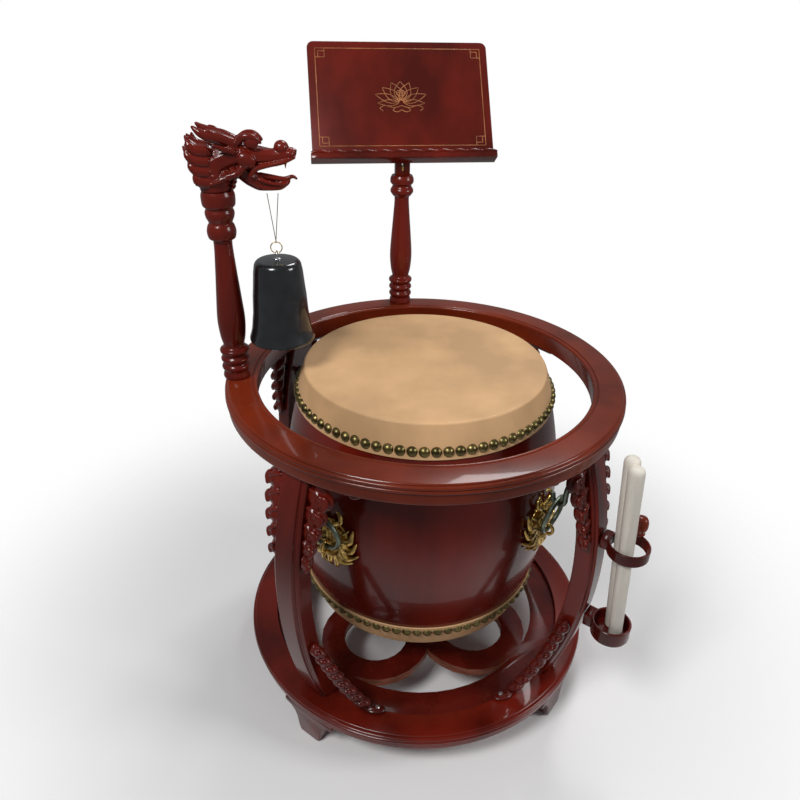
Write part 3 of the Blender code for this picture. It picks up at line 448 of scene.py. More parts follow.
class TEMPLE_OT_rings(Operator):
    """Build the moulded top ring, base ring and openwork panel"""
    bl_idname = "temple_drum.rings"
    bl_label = "Rings and panel"

    def execute(self, context):
        size = sizes()
        top = size.ring_top
        low = top - size.ring_thick
        rim = size.ring_outer
        bore = size.ring_inner
        profile = [(bore + 0.002, low), (rim - 0.006, low)]
        profile += arc(rim - 0.006, low + 0.003, 0.003, -90, 0)
        profile += [(rim - 0.003, top - 0.0155)]
        profile += arc(rim - 0.0027, top - 0.0122, 0.0027, -70, 80)
        profile += arc(rim - 0.0035, top - 0.0060, 0.0030, -70, 80)
        profile += [(rim - 0.0050, top - 0.0026)]
        profile += arc(rim - 0.0075, top - 0.0030, 0.0030, 30, 90, 3)
        profile += [(bore + 0.0095, top), (bore + 0.0085, top - 0.0018), (bore + 0.0075, top - 0.0018)]
        profile += arc(bore + 0.0040, top - 0.0036, 0.0036, 60, 190)
        profile += [(bore + 0.0020, top - 0.008)]
        # The top ring takes the warm lacquer: painted light, a lighter copy of the lacquer for its lit
        # top
        piece("moulded_top_ring", turned(profile, 144, closed=True), "stand", "lacquer_warm",
              ["top_ring"], place=placed(0, 0, 0))

        top = size.base_top
        low = top - 0.032
        rim = size.base_outer
        profile = [(0.2645, low + 0.0095), (0.2645, low), (rim - 0.007, low)]
        profile += arc(rim - 0.008, low + 0.004, 0.004, -90, 0)
        profile += [(rim - 0.004, top - 0.0160)]
        profile += arc(rim - 0.0030, top - 0.0126, 0.0027, -70, 80)
        profile += arc(rim - 0.0038, top - 0.0064, 0.0030, -70, 80)
        profile += [(rim - 0.0060, top - 0.0028)]
        profile += arc(rim - 0.0085, top - 0.0030, 0.0030, 30, 90, 3)
        profile += [(0.2815, top), (0.2802, top - 0.0015), (0.2802, low + 0.0095)]
        piece("moulded_base_ring", turned(profile, 144, closed=True), "stand", "lacquer",
              ["base_ring"], place=placed(0, 0, 0))

        # The openwork panel takes the dark lacquer: painted shade under the drum
        panel = softened("openwork_panel", "base_panel", "stand", "lacquer_dark", 0.0008)
        panel.data.materials.append(finish("cut_wood"))
        for face in panel.data.polygons:
            if abs(face.normal.z) < 0.3:
                face.material_index = 1
        # The bracket feet take the dark lacquer: painted shade low on the base
        for side in LEGS:
            softened("bracket_foot_" + side, "foot_" + side, "stand", "lacquer_dark", 0.0015)
        return {"FINISHED"}


class TEMPLE_OT_legs(Operator):
    """Build the bowed legs with their moulded faces"""
    bl_idname = "temple_drum.legs"
    bl_label = "Legs"

    def execute(self, context):
        size = sizes()
        half = size.leg_width / 2
        deep = size.leg_depth
        low = size.base_top + GAP
        high = size.ring_top - size.ring_thick - GAP
        steps = 36
        right = [(half - 0.002, deep), (half, deep - 0.002), (half, 0.0075), (half - 0.001, 0.0058),
                 (half - 0.003, 0.0045), (half - 0.0062, 0.0045), (half - 0.0075, 0.0030),
                 (half - 0.0078, 0.0012), (half - 0.0090, 0.0)]
        section = right + [(-x, y) for x, y in reversed(right)]
        for side, azimuth in LEGS.items():
            bm = bmesh.new()
            verts = [bm.verts.new((x, inset - leg_outer(low), low)) for x, inset in section]
            ends = [bm.faces.new(verts)]
            level = low
            for k in range(1, steps + 1):
                height = low + (high - low) * k / steps
                grown = bmesh.ops.extrude_face_region(bm, geom=ends)
                if k > 1:
                    bmesh.ops.delete(bm, geom=ends, context="FACES_ONLY")
                ends = [item for item in grown["geom"] if isinstance(item, bmesh.types.BMFace)]
                moved = [item for item in grown["geom"] if isinstance(item, bmesh.types.BMVert)]
                step = (0, leg_outer(level) - leg_outer(height), height - level)
                bmesh.ops.translate(bm, verts=moved, vec=step)
                level = height
            piece("moulded_leg_" + side, bm, "stand", "lacquer", ["leg_" + side], angle=30.0,
                  place=placed(0, 0, 0, azimuth))
        return {"FINISHED"}


class TEMPLE_OT_brackets(Operator):
    """Build the carved brackets under the ring and the ribbed braces on the base"""
    bl_idname = "temple_drum.brackets"
    bl_label = "Brackets and braces"

    def execute(self, context):
        size = sizes()
        near = size.leg_width / 2 + 0.0004
        top = size.ring_top - size.ring_thick - 0.0004
        floor = size.base_top + 0.0004
        bm = bmesh.new()
        strand(bm, [(near + 0.016, 0, top - 0.016, 0.0095), (near + 0.010, 0, top - 0.070, 0.0090),
                    (near + 0.005, 0, top - 0.155, 0.0055)])
        strand(bm, [(near + 0.010, 0, top - 0.008, 0.0090), (near + 0.045, 0, top - 0.0085, 0.0085),
                    (near + 0.072, 0, top - 0.0085, 0.0078)])
        # Lobes down the bracket, each with a curl and a leaf, smaller towards the foot
        lobes = 5
        for k in range(lobes):
            along = (k + 0.5) / lobes
            reach = 0.040 - 0.031 * along
            height = top - 0.020 - 0.138 * along
            ball(bm, (near + reach * 0.45, 0, height), (reach * 0.62, 0.0095, 0.0165), 18)
            curl = []
            for step, wire in enumerate((0.0036, 0.0034, 0.0032, 0.0030, 0.0028, 0.0025, 0.0022, 0.0020)):
                turn = math.radians(60 * step - 60)
                radius = 0.0105 * (1.0 - 0.11 * step) * (0.65 + 0.45 * (1 - along))
                curl.append((near + reach * 0.66 + radius * math.cos(turn), -0.0085,
                             height + radius * math.sin(turn), wire))
            strand(bm, curl)
            strand(bm, [(near + 0.003, -0.0085, height + 0.014, 0.0022),
                        (near + reach * 0.5, -0.0095, height + 0.010, 0.0030),
                        (near + reach * 0.85, -0.0080, height - 0.002, 0.0026)])
        ball(bm, (near + 0.070, -0.004, top - 0.009), (0.010, 0.0090, 0.0078))
        bracket = kept(melted(bm, 0.0013), "bracket_shape")

        # The brace: a sloping bar with ribs, and its flat tab
        bm = bmesh.new()
        upper = Vector((near + 0.006, 0, floor + 0.158))
        lower = Vector((near + 0.066, 0, floor + 0.014))
        strand(bm, [(*upper, 0.0075), (*((upper + lower) / 2), 0.0085), (*lower, 0.0080)])
        ribs = 8
        slope = 22.6
        for k in range(ribs):
            spot = upper + (lower - upper) * (k + 0.5) / ribs
            ball(bm, tuple(spot), (0.0150, 0.0112, 0.0078), slope)
            ball(bm, (spot.x + 0.004, -0.006, spot.z + 0.002), (0.0075, 0.0060, 0.0065), slope)
        strand(bm, [(near + 0.058, 0, floor + 0.006, 0.0075), (near + 0.075, 0, floor + 0.005, 0.0055),
                    (near + 0.088, 0, floor + 0.0045, 0.0045)])
        ball(bm, (near + 0.080, 0, floor + 0.004), (0.017, 0.0110, 0.0048))
        brace = kept(melted(bm, 0.0013), "brace_shape")

        inset = 0.017

        def carve(mesh, hand, low, high):
            bm = bmesh.new()
            bm.from_mesh(mesh)
            for vert in bm.verts:
                vert.co.x = max(vert.co.x, near)
                vert.co.z = min(max(vert.co.z, low), high)
            on_leg(bm, inset)
            if hand < 0:
                bmesh.ops.scale(bm, vec=(-1, 1, 1), verts=bm.verts)
            return bm

        for side, azimuth in LEGS.items():
            place = placed(0, 0, 0, azimuth)
            for word, hand in (("left", -1.0), ("right", 1.0)):
                piece("carved_bracket_%s_%s" % (side, word), carve(bracket, hand, 0.0, top), "stand",
                      "lacquer", ["upper_bracket_%s_%s" % (side, word)], angle=60.0, place=place)
            hand = BRACES[side]
            word = "right" if hand > 0 else "left"
            # The brace takes the dark lacquer: painted shade low on the base
            piece("ribbed_brace_" + side, carve(brace, hand, floor, top), "stand", "lacquer_dark",
                  ["lower_brace_%s_%s" % (side, word)], angle=60.0, place=place)
            radius = leg_outer(size.base_top) - inset
            lean = math.degrees(math.asin((near + 0.083) * hand / radius))
            screw = turned([(0.0, 0.0016), (0.0010, 0.0016), (0.0012, 0.0012), (0.0030, 0.0012),
                            (0.0042, 0.0)], 20)
            piece("brace_screw_" + side, screw, "stand", "steel", angle=40.0,
                  place=placed(radius, azimuth + lean, floor + 0.0083))
        bpy.data.meshes.remove(bracket)
        bpy.data.meshes.remove(brace)
        return {"FINISHED"}


class TEMPLE_OT_drum(Operator):
    """Build the shell, its two hides and its two rows of nails"""
    bl_idname = "temple_drum.drum"
    bl_label = "Drum"

    def execute(self, context):
        size = sizes()
        half = size.drum_height / 2
        turn = half - size.hide_turn
        end = half - 0.0033
        levels = [end - (end * 2) * k / 40 for k in range(41)]
        profile = [(0.0, end)] + [(shell_radius(level), level) for level in levels] + [(0.0, -end)]
        place = placed(0, 0, drum_middle())
        piece("barrel", turned(profile, 128), "drum", "lacquer", ["drum_shell"], place=place)
        for word, flip in (("top", 1.0), ("bottom", -1.0)):
            skirt = [end - (end - turn) * k / 10 for k in range(11)]
            profile = [(0.0, half - 0.0010), (0.180, half - 0.0010), (0.188, half - 0.0004)]
            profile += [(0.193, half), (0.198, half - 0.0001)]
            profile += arc(size.shell_end - 0.0012, half - 0.0042, 0.0042, 80, 10, 5)
            profile += [(shell_radius(level) + 0.0031, level) for level in skirt[1:]]
            profile += [(shell_radius(turn) + 0.0022, turn - 0.0006), (shell_radius(turn) + GAP, turn)]
            profile += [(shell_radius(level) + GAP, level) for level in reversed(skirt[:-1])]
            profile += [(0.0, end + GAP)]
            piece("hide_" + word, turned([(r, z * flip) for r, z in profile], 128), "drum", "hide",
                  ["drum_head_" + word], place=place)
            nail = half - size.nail_drop
            rise = shell_radius(nail - 0.005) - shell_radius(nail + 0.005)
            slope = math.degrees(math.atan2(rise, 0.010))
            dome = [(0.0, 0.66), (0.38, 0.60), (0.68, 0.43), (0.88, 0.19), (1.0, 0.04), (1.0, 0.0),
                    (0.0, 0.0)]
            bm = bmesh.new()
            for k in range(size.nails):
                head = turned([(r * size.nail_radius, z * size.nail_radius) for r, z in dome], 14)
                spun(head, 90 - slope * flip, "Y")
                shifted(head, shell_radius(nail) + 0.0035, 0, nail * flip)
                merge(bm, spun(head, 360 * k / size.nails, "Z"))
            piece("nails_" + word, bm, "drum", "nail_metal", ["nail_row_" + word], angle=50.0,
                  place=place)
        return {"FINISHED"}


class TEMPLE_OT_masks(Operator):
    """Build the beast masks, their ring handles and the hooks that hold these"""
    bl_idname = "temple_drum.masks"
    bl_label = "Masks, handles and hooks"

    def execute(self, context):
        size = sizes()
        bm = bmesh.new()
        ball(bm, (0, 0, 0), (0.036, 0.0060, 0.038))
        # Eyes, cheeks and nostrils
        for hand in (-1.0, 1.0):
            ball(bm, (0.0150 * hand, 0.0075, 0.0170), (0.0070, 0.0060, 0.0062))
            ball(bm, (0.0250 * hand, 0.005, 0.0010), (0.0100, 0.0055, 0.0105))
            ball(bm, (0.0075 * hand, 0.0070, 0.0070), (0.0048, 0.0040, 0.0040))
        # Brows, jowls, horns and fangs
        pair(bm, 0, [(0.004, 0.008, 0.021, 0.0030), (0.014, 0.0095, 0.0285, 0.0038),
                     (0.027, 0.0085, 0.0260, 0.0032), (0.035, 0.005, 0.0310, 0.0018)])
        pair(bm, 0, [(0.006, 0.007, 0.0035, 0.0030), (0.018, 0.008, -0.0040, 0.0035),
                     (0.027, 0.006, -0.0120, 0.0025)])
        pair(bm, 0, [(0.010, 0.004, 0.034, 0.0050), (0.022, 0.007, 0.044, 0.0042),
                     (0.020, 0.006, 0.055, 0.0030), (0.011, 0.004, 0.058, 0.0015)])
        pair(bm, 0, [(0.012, 0.006, -0.0140, 0.0020), (0.010, 0.008, -0.0220, 0.0010)])
        # The mane's locks, each curled back by 20 degrees
        for turn, far in ((72, 0.054), (98, 0.050), (124, 0.054), (148, 0.052)):
            ray = math.radians(turn)
            bend = math.radians(turn - 20)
            pair(bm, 0, [(0.028 * math.sin(ray), 0.003, 0.028 * math.cos(ray), 0.0072),
                         (0.042 * math.sin(ray), 0.006, 0.042 * math.cos(ray), 0.0052),
                         (far * math.sin(bend), 0.003, far * math.cos(bend), 0.0014)])
        # Nose, forehead, lower lip and beard
        ball(bm, (0, 0.0065, 0.0110), (0.0060, 0.0045, 0.0080))
        ball(bm, (0, 0.0070, 0.0360), (0.0065, 0.0045, 0.0075))
        strand(bm, [(-0.020, 0.005, -0.018, 0.0030), (0, 0.0085, -0.026, 0.0046),
                    (0.020, 0.005, -0.018, 0.0030)])
        for across in (-0.012, 0.0, 0.012):
            strand(bm, [(across, 0.004, -0.030, 0.0062), (across * 1.2, 0.007, -0.042, 0.0045),
                        (across * 0.8, 0.003, -0.055, 0.0014)])
        face = melted(bm, 0.0010)
        rough = bpy.data.meshes.new("mask_shape")
        face.to_mesh(rough)
        face.free()
        centre = size.ring_top - 0.205
        for side, azimuth in LEGS.items():
            bm = bmesh.new()
            bm.from_mesh(rough)
            for vert in bm.verts:
                height = vert.co.z + centre
                radius = shell_radius(height - drum_middle()) + 0.0009 + max(vert.co.y, 0.0)
                vert.co.y = -math.sqrt(radius * radius - vert.co.x ** 2)
                vert.co.z = height
            staple = spun(torus(0.0095, 0.0030, 28, 10), 90, "Y")
            merge(bm, shifted(staple, 0, -size.mouth_radius, size.mouth_height - 0.0016))
            piece("lion_mask_" + side, bm, "drum", "gilt", ["beast_mask_" + side], angle=60.0,
                  place=placed(0, 0, 0, azimuth))

            handle = spun(torus(size.handle_radius, size.handle_wire, 56, 12), 90, "X")
            shifted(handle, 0, 0, size.handle_radius)
            spun(handle, HANDLE_LEAN, "X")
            piece("ring_handle_" + side, handle, "ring_" + side, "bronze", ["drum_ring_" + side],
                  angle=60.0, place=placed(size.mouth_radius, azimuth, size.mouth_height, azimuth))

            lean = math.radians(HANDLE_LEAN)
            bar_radius = size.mouth_radius + 2 * size.handle_radius * math.sin(lean)
            bar_height = size.mouth_height + 2 * size.handle_radius * math.cos(lean)
            bend = 0.0105
            wire = 0.0045
            middle = bar_height - size.handle_wire - GAP - wire + bend
            anchor = 0.510
            slope = (leg_outer(anchor + 0.005) - leg_outer(anchor - 0.005)) / 0.010
            inward = Vector((-1.0, slope)).normalized()
            root = Vector((leg_outer(anchor) - size.leg_depth, anchor)) + inward * 0.00075
            path = [tuple(root), tuple(root + inward * 0.0028), tuple(root + inward * 0.0036)]
            radii = [2.5, 2.4, 1.0]
            shank = eased([tuple(root + inward * 0.0036), tuple(root + inward * 0.0095),
                           (bar_radius + bend + 0.003, middle + 0.030),
                           (bar_radius + bend, middle + 0.012), (bar_radius + bend, middle)], 4)[1:]
            path += shank
            radii += [1.0] * len(shank)
            for k in range(1, 15):
                turn = math.pi * k / 14
                path.append((bar_radius + bend * math.cos(turn), middle - bend * math.sin(turn)))
                radii.append(1.0)
            path += [(bar_radius - bend - 0.0005, middle + 0.005),
                     (bar_radius - bend - 0.001, middle + 0.008)]
            radii += [0.92, 0.70]
            hook = tube_mesh([[(0.0, -radius, height) for radius, height in path]], wire, radii, sides=3)
            bmesh.ops.remove_doubles(hook, verts=hook.verts, dist=1e-6)
            piece("drum_hook_" + side, hook, "stand", "bronze", ["hanger_hook_" + side], angle=50.0,
                  place=placed(0, 0, 0, azimuth))
        bpy.data.meshes.remove(rough)
        return {"FINISHED"}


class TEMPLE_OT_posts(Operator):
    """Build the two turned posts"""
    bl_idname = "temple_drum.posts"
    bl_label = "Posts"

    def execute(self, context):
        size = sizes()
        foot = [(0.0205, 0.0), (0.0215, 0.004), (0.0195, 0.013), (0.0220, 0.017), (0.0220, 0.021),
                (0.0190, 0.026), (0.0222, 0.031), (0.0222, 0.035), (0.0190, 0.040), (0.0225, 0.045),
                (0.0225, 0.050), (0.0165, 0.056), (0.0195, 0.072), (0.0215, 0.100), (0.0190, 0.140)]
        dragon = eased(foot + [(0.0160, 0.180), (0.0138, 0.224), (0.0195, 0.230), (0.0215, 0.240),
                               (0.0195, 0.249), (0.0172, 0.253), (0.0205, 0.261), (0.0215, 0.268),
                               (0.0198, 0.274), (0.0238, 0.279), (0.0245, 0.292), (0.0225, 0.299)])
        piece("turned_bell_post", turned([(0.0, 0.0)] + dragon + [(0.0, 0.299)], 56), "stand", "lacquer",
              ["dragon_post"], angle=50.0, place=placed(size.post_radius, BELL_AZIMUTH,
                                                        size.ring_top + GAP))
        desk = eased(foot + [(0.0160, 0.176), (0.0138, 0.210), (0.0175, 0.216), (0.0215, 0.222),
                             (0.0215, 0.227), (0.0183, 0.2325), (0.0183, 0.2355), (0.0220, 0.240),
                             (0.0220, 0.247), (0.0195, 0.253)])
        bm = turned([(0.0, 0.0)] + desk + [(0.0, 0.253)], 56)
        # The neck's two cheeks leave the slot for the hinge, with a web and a brass strip low in it
        neck = 0.027
        cheek = (neck - 0.0041) / 2
        for hand in (-1.0, 1.0):
            merge(bm, block(cheek, 0.020, 0.044, (hand * (neck - cheek) / 2, 0, 0.273), 0.0010))
        merge(bm, block(0.0060, 0.019, 0.011, (0, 0, 0.2565), 0.0005))
        place = placed(size.post_radius, DESK_AZIMUTH, size.ring_top + GAP)
        piece("turned_desk_post", bm, "stand", "lacquer", ["desk_post"], angle=50.0, place=place)
        strip = block(0.0038, 0.0180, 0.0080, (0, 0, 0.2662), 0.0004)
        piece("brass_strip", strip, "stand", "brass", place=place)
        return {"FINISHED"}


class TEMPLE_OT_dragon(Operator):
    """Carve the dragon head that holds the bell"""
    bl_idname = "temple_drum.dragon"
    bl_label = "Dragon head"

    def execute(self, context):
        size = sizes()
        bm = bmesh.new()
        # Neck, skull and snout, then the lower jaw and the tongue
        strand(bm, [(-0.002, 0, 0.020, 0.0200), (-0.001, 0, 0.026, 0.0240), (0.004, 0, 0.038, 0.0235),
                    (0.020, 0, 0.046, 0.0225), (0.038, 0, 0.050, 0.0190)])
        bmesh.ops.create_cone(bm, cap_ends=True, segments=28, radius1=0.0215, radius2=0.0240, depth=0.024,
                              matrix=Matrix.Translation((-0.002, 0, 0.0122)))
        strand(bm, [(0.038, 0, 0.050, 0.0185), (0.058, 0, 0.0475, 0.0150), (0.080, 0, 0.0465, 0.0110),
                    (0.098, 0, 0.0490, 0.0100), (0.110, 0, 0.0520, 0.0072)])
        strand(bm, [(0.034, 0, 0.032, 0.0140), (0.050, 0, 0.017, 0.0125), (0.066, 0, 0.0065, 0.0095),
                    (0.082, 0, 0.0035, 0.0072), (0.096, 0, 0.0080, 0.0050), (0.103, 0, 0.0120, 0.0025)])
        strand(bm, [(0.062, 0, 0.020, 0.0050), (0.080, 0, 0.0170, 0.0044), (0.096, 0, 0.0150, 0.0036),
                    (0.108, 0, 0.0185, 0.0028), (0.114, 0, 0.0150, 0.0016)])
        ball(bm, (0.0945, 0, 0.0585), (0.0108, 0.0112, 0.0100))
        # Lips, eyes and cheeks
        for hand in (-1.0, 1.0):
            ball(bm, (0.1060, 0.0048 * hand, 0.0500), (0.0070, 0.0056, 0.0060))
            ball(bm, (0.055, 0.0130 * hand, 0.0670), (0.0098, 0.0072, 0.0094))
            ball(bm, (0.046, 0.0165 * hand, 0.0440), (0.0140, 0.0075, 0.0115), 20)
        # Brows, both lips' edges, horns with their tines, and ears
        pair(bm, 1, [(0.036, 0.0110, 0.0680, 0.0060), (0.046, 0.0150, 0.0750, 0.0048),
                     (0.058, 0.0160, 0.0745, 0.0040), (0.067, 0.0125, 0.0670, 0.0026)])
        pair(bm, 1, [(0.112, 0.0050, 0.0460, 0.0028), (0.096, 0.0095, 0.0400, 0.0034),
                     (0.076, 0.0105, 0.0360, 0.0034), (0.058, 0.0140, 0.0320, 0.0042),
                     (0.050, 0.0150, 0.0220, 0.0030)])
        pair(bm, 1, [(0.098, 0.0050, 0.0090, 0.0020), (0.080, 0.0085, 0.0100, 0.0026),
                     (0.062, 0.0120, 0.0170, 0.0034)])
        pair(bm, 1, [(0.030, 0.0110, 0.0650, 0.0084), (0.014, 0.0150, 0.0720, 0.0084),
                     (-0.002, 0.0180, 0.0760, 0.0074), (-0.013, 0.0185, 0.0810, 0.0058),
                     (-0.022, 0.0170, 0.0880, 0.0022)])
        pair(bm, 1, [(0.006, 0.0165, 0.0740, 0.0048), (0.002, 0.0195, 0.0805, 0.0038),
                     (-0.005, 0.0205, 0.0840, 0.0018)])
        pair(bm, 1, [(0.030, 0.0190, 0.0560, 0.0055), (0.018, 0.0250, 0.0600, 0.0045),
                     (0.004, 0.0270, 0.0660, 0.0012)])
        # Teeth, mane and beard
        for x, drop in ((0.100, 0.009), (0.088, 0.006), (0.078, 0.006)):
            pair(bm, 1, [(x, 0.0085, 0.0400, 0.0019), (x - 0.001, 0.0085, 0.0400 - drop, 0.0007)])
        for z, far in ((0.060, 0.038), (0.046, 0.042), (0.032, 0.038), (0.018, 0.031)):
            for y in (0.0065, 0.0170):
                pair(bm, 1, [(-0.006, y, z - 0.004, 0.0086), (-0.020, y + 0.003, z - 0.002, 0.0080),
                             (-far * 0.75, y + 0.004, z + 0.005, 0.0058),
                             (-far + y * 0.5, y + 0.001, z + 0.015, 0.0016)])
        for k in range(3):
            pair(bm, 1, [(0.040 - 0.012 * k, 0.0160, 0.034 - 0.004 * k, 0.0060),
                         (0.030 - 0.010 * k, 0.0230, 0.026 - 0.004 * k, 0.0048),
                         (0.014 - 0.010 * k, 0.0245, 0.024 - 0.006 * k, 0.0012)])
        # Scales under the throat
        for k in range(5):
            ball(bm, (0.0215 + 0.0022 * k, 0, 0.004 + 0.0065 * k), (0.0060, 0.0140 - 0.001 * k, 0.0034),
                 -20)
        head = melted(bm, 0.0009)
        place = placed(size.post_radius, BELL_AZIMUTH, size.ring_top + 0.299 + 0.0006, -2.0)
        for vert in head.verts:
            vert.co.z = max(vert.co.z, 0.0)
        piece("carved_dragon_head", head, "stand", "lacquer", ["dragon_head"], angle=60.0, place=place)
        return {"FINISHED"}


class TEMPLE_OT_bell(Operator):
    """Build the bell, its split ring and shackle, and the cord it hangs by"""
    bl_idname = "temple_drum.bell"
    bl_label = "Bell"

    def execute(self, context):
        size = sizes()
        crown = size.ring_top + 0.1965
        lip = size.ring_top + 0.066
        ring = size.ring_top + 0.214
        outer = [(0.0, crown), (0.018, crown - 0.0003), (0.026, crown - 0.0014)]
        outer += arc(0.0262, crown - 0.0110, 0.0100, 75, 10, 6)
        outer += [(0.0378, crown - 0.0190), (0.0388, crown - 0.0300), (0.0402, crown - 0.0450),
                  (0.0415, crown - 0.0565), (0.0432, lip + 0.0460), (0.0450, lip + 0.0340),
                  (0.0460, lip + 0.0250), (0.0472, lip + 0.0185), (0.0490, lip + 0.0115),
                  (0.0505, lip + 0.0070), (0.0514, lip + 0.0040), (0.0515, lip + 0.0015),
                  (0.0505, lip)]
        inner = [(0.0485, lip), (0.0475, lip + 0.002), (0.0437, lip + 0.0170), (0.0415, lip + 0.034),
                 (0.0347, crown - 0.0215), (0.0310, crown - 0.0090), (0.0, crown - 0.0045)]
        axis = size.post_radius - 0.078
        piece("cast_bell", turned(outer + inner, 96), "bell", "iron", ["bell"],
              place=placed(axis, BELL_AZIMUTH, 0))
        loop = spun(torus(0.0085, 0.0008, 40, 8), 90, "X")
        piece("brass_ring", loop, "bell_sling", "brass", ["bell_split_ring"], angle=60.0,
              place=placed(axis, BELL_AZIMUTH, ring, -2.0))
        eye = spun(torus(0.0052, 0.0013, 32, 8), 90, "Y")
        shifted(eye, 0, 0, ring - 0.0085 - 0.0023)
        stem = turned([(0.0, crown + GAP), (0.0060, crown + GAP), (0.0056, crown + 0.0012),
                       (0.0026, crown + 0.0022), (0.0021, ring - 0.0155), (0.0, ring - 0.0155)], 24)
        piece("bell_eye", merge(eye, stem), "bell", "steel", ["bell_shackle"], angle=50.0,
              place=placed(axis, BELL_AZIMUTH, 0, -2.0))

        hang = polar(axis, -92.0, size.cord_top)
        along = Vector((math.cos(math.radians(-2)), math.sin(math.radians(-2)), 0))
        across = Vector((-along.y, along.x, 0))
        clear = 0.0017
        rise = size.cord_top - (size.ring_top + 0.2225)
        spots = [(-0.008 + 0.001 * k, clear * k / 8, -rise * k / 8) for k in range(8)]
        for k in range(9):
            turn = math.pi * k / 8
            spots.append((0.0, clear * math.cos(turn), -rise - clear * math.sin(turn)))
        spots += [(0.001 * k, -clear * (1.0 - k / 8), -rise * (1.0 - k / 8)) for k in range(1, 9)]
        points = [hang + along * x + across * y + Vector((0, 0, z)) for x, y, z in spots]
        curve = bpy.data.curves.new("cord_line", "CURVE")
        curve.dimensions = "3D"
        curve.bevel_depth = size.cord_thick / 2
        curve.bevel_resolution = 3
        curve.use_fill_caps = True
        spline = curve.splines.new("POLY")
        spline.points.add(len(points) - 1)
        for spot, point in zip(spline.points, points):
            spot.co = (*point, 1.0)
        curve.materials.append(finish("cord_brown"))
        cord = bpy.data.objects.new("hanging_cord", curve)
        context.scene.collection.objects.link(cord)
        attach(cord, "bell_sling")
        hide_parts("bell_cord")
        return {"FINISHED"}


class TEMPLE_OT_desk(Operator):
    """Build the desk board with its carved border and lotus, and its ledge"""
    bl_idname = "temple_drum.desk"
    bl_label = "Desk"

    def execute(self, context):
        size = sizes()
        pivot = polar(size.post_radius, 180.0, size.ring_top + 0.2813)
        place = Matrix.Translation(pivot) @ Matrix.Rotation(math.radians(-DESK_TILT), 4, "X")
        half = size.board_width / 2
        low = -0.006
        high = low + size.board_length
        face = -0.032
        corner = 0.012
        bm = bmesh.new()
        outline = [(-half, low), (half, low)]
        outline += arc(half - corner, high - corner, corner, 0, 90, 8)
        outline += arc(-half + corner, high - corner, corner, 90, 180, 8)
        front = bm.faces.new([bm.verts.new((x, face, z)) for x, z in outline])
        grown = bmesh.ops.extrude_face_region(bm, geom=[front])
        moved = [item for item in grown["geom"] if isinstance(item, bmesh.types.BMVert)]
        bmesh.ops.translate(bm, verts=moved, vec=(0, 0.012, 0))
        rims = [edge for edge in bm.edges if abs(edge.verts[0].co.y - edge.verts[1].co.y) < 1e-6]
        bmesh.ops.bevel(bm, geom=rims, offset=0.0018, affect="EDGES", segments=3, profile=0.5,
                        material=-1)
        piece("desk_slab", bm, "desk", "lacquer", ["desk_board"], angle=30.0, place=place)
        softened("desk_lip", "desk_ledge", "desk", "lacquer", 0.0010)
        waves = 12
        width = size.board_width + 0.004
        wavy = []
        for k in range(waves * 8 + 1):
            swell = abs(math.sin(math.pi * k / 8))
            wavy.append((width * (k / (waves * 8) - 0.5), -0.0445 - 0.0020 * swell,
                         -0.0060 + 0.0022 * swell))
        lip = tube_mesh([wavy], 0.0030, sides=3)
        for k in range(1, waves):
            ball(lip, (width * (k / waves - 0.5), -0.0440, -0.0048), (0.0058, 0.0040, 0.0034))
        piece("carved_lip", lip, "desk", "lacquer", angle=60.0, place=place)

        lines = []
        inset = 0.014
        left, right = -half + inset, half - inset
        bottom, top = low + inset + 0.004, high - inset
        notch = 0.017
        for x, sx in ((left, 1.0), (right, -1.0)):
            for z, sz in ((bottom, 1.0), (top, -1.0)):
                lines.append([(x, z + sz * notch), (x + sx * notch, z + sz * notch), (x + sx * notch, z)])
                shift = 0.0055
                side = 0.0115
                a, b = x + sx * shift, z + sz * shift
                lines.append([(a, b), (a + sx * side, b), (a + sx * side, b + sz * side),
                              (a, b + sz * side), (a, b)])
                lines.append([(x, z + sz * notch), (x, z), (x + sx * notch, z)])
        for x in (left, right):
            lines.append([(x, bottom + notch), (x, top - notch)])
        for z in (bottom, top):
            lines.append([(left + notch, z), (right - notch, z)])
        heart = Vector((0.0, 0.094))
        petals = [(0, 0.036, 0.0120), (24, 0.037, 0.0105), (-24, 0.037, 0.0105), (50, 0.040, 0.0095),
                  (-50, 0.040, 0.0095), (72, 0.046, 0.0080), (-72, 0.046, 0.0080), (92, 0.040, 0.0060),
                  (-92, 0.040, 0.0060)]
        for lean, reach, wide in petals:
            turn = math.radians(lean)
            edge = []
            for k in range(21):
                along = k / 10 if k <= 10 else 2 - k / 10
                across = wide * math.sin(math.pi * along ** 0.8) * (-1 if k <= 10 else 1)
                up = 0.004 + reach * along
                edge.append((heart.x + across * math.cos(turn) + up * math.sin(turn),
                             heart.y - across * math.sin(turn) + up * math.cos(turn)))
            lines.append(edge)
        for hand in (-1.0, 1.0):
            lines.append(eased([(0.0, 0.088), (0.014 * hand, 0.084), (0.030 * hand, 0.088),
                                (0.040 * hand, 0.083), (0.034 * hand, 0.078)]))
            lines.append(eased([(0.0, 0.080), (0.008 * hand, 0.076), (0.016 * hand, 0.079),
                                (0.012 * hand, 0.084)]))
        lines.append([(0.0085 * math.cos(math.pi * k / 10),
                       0.112 + 0.0055 * math.sin(math.pi * k / 10)) for k in range(21)])
        for row in ((-0.004, 0.113), (0.0, 0.1135), (0.004, 0.113), (-0.002, 0.1105), (0.002, 0.1105)):
            lines.append([(row[0] + 0.0009 * math.cos(math.pi * k / 4),
                           row[1] + 0.0009 * math.sin(math.pi * k / 4))
                          for k in range(9)])
        carved = tube_mesh([[(x, face + 0.0001, z) for x, z in line] for line in lines], 0.00075, sides=1)
        piece("desk_carving", carved, "desk", "inlay", angle=60.0, place=place)
        return {"FINISHED"}


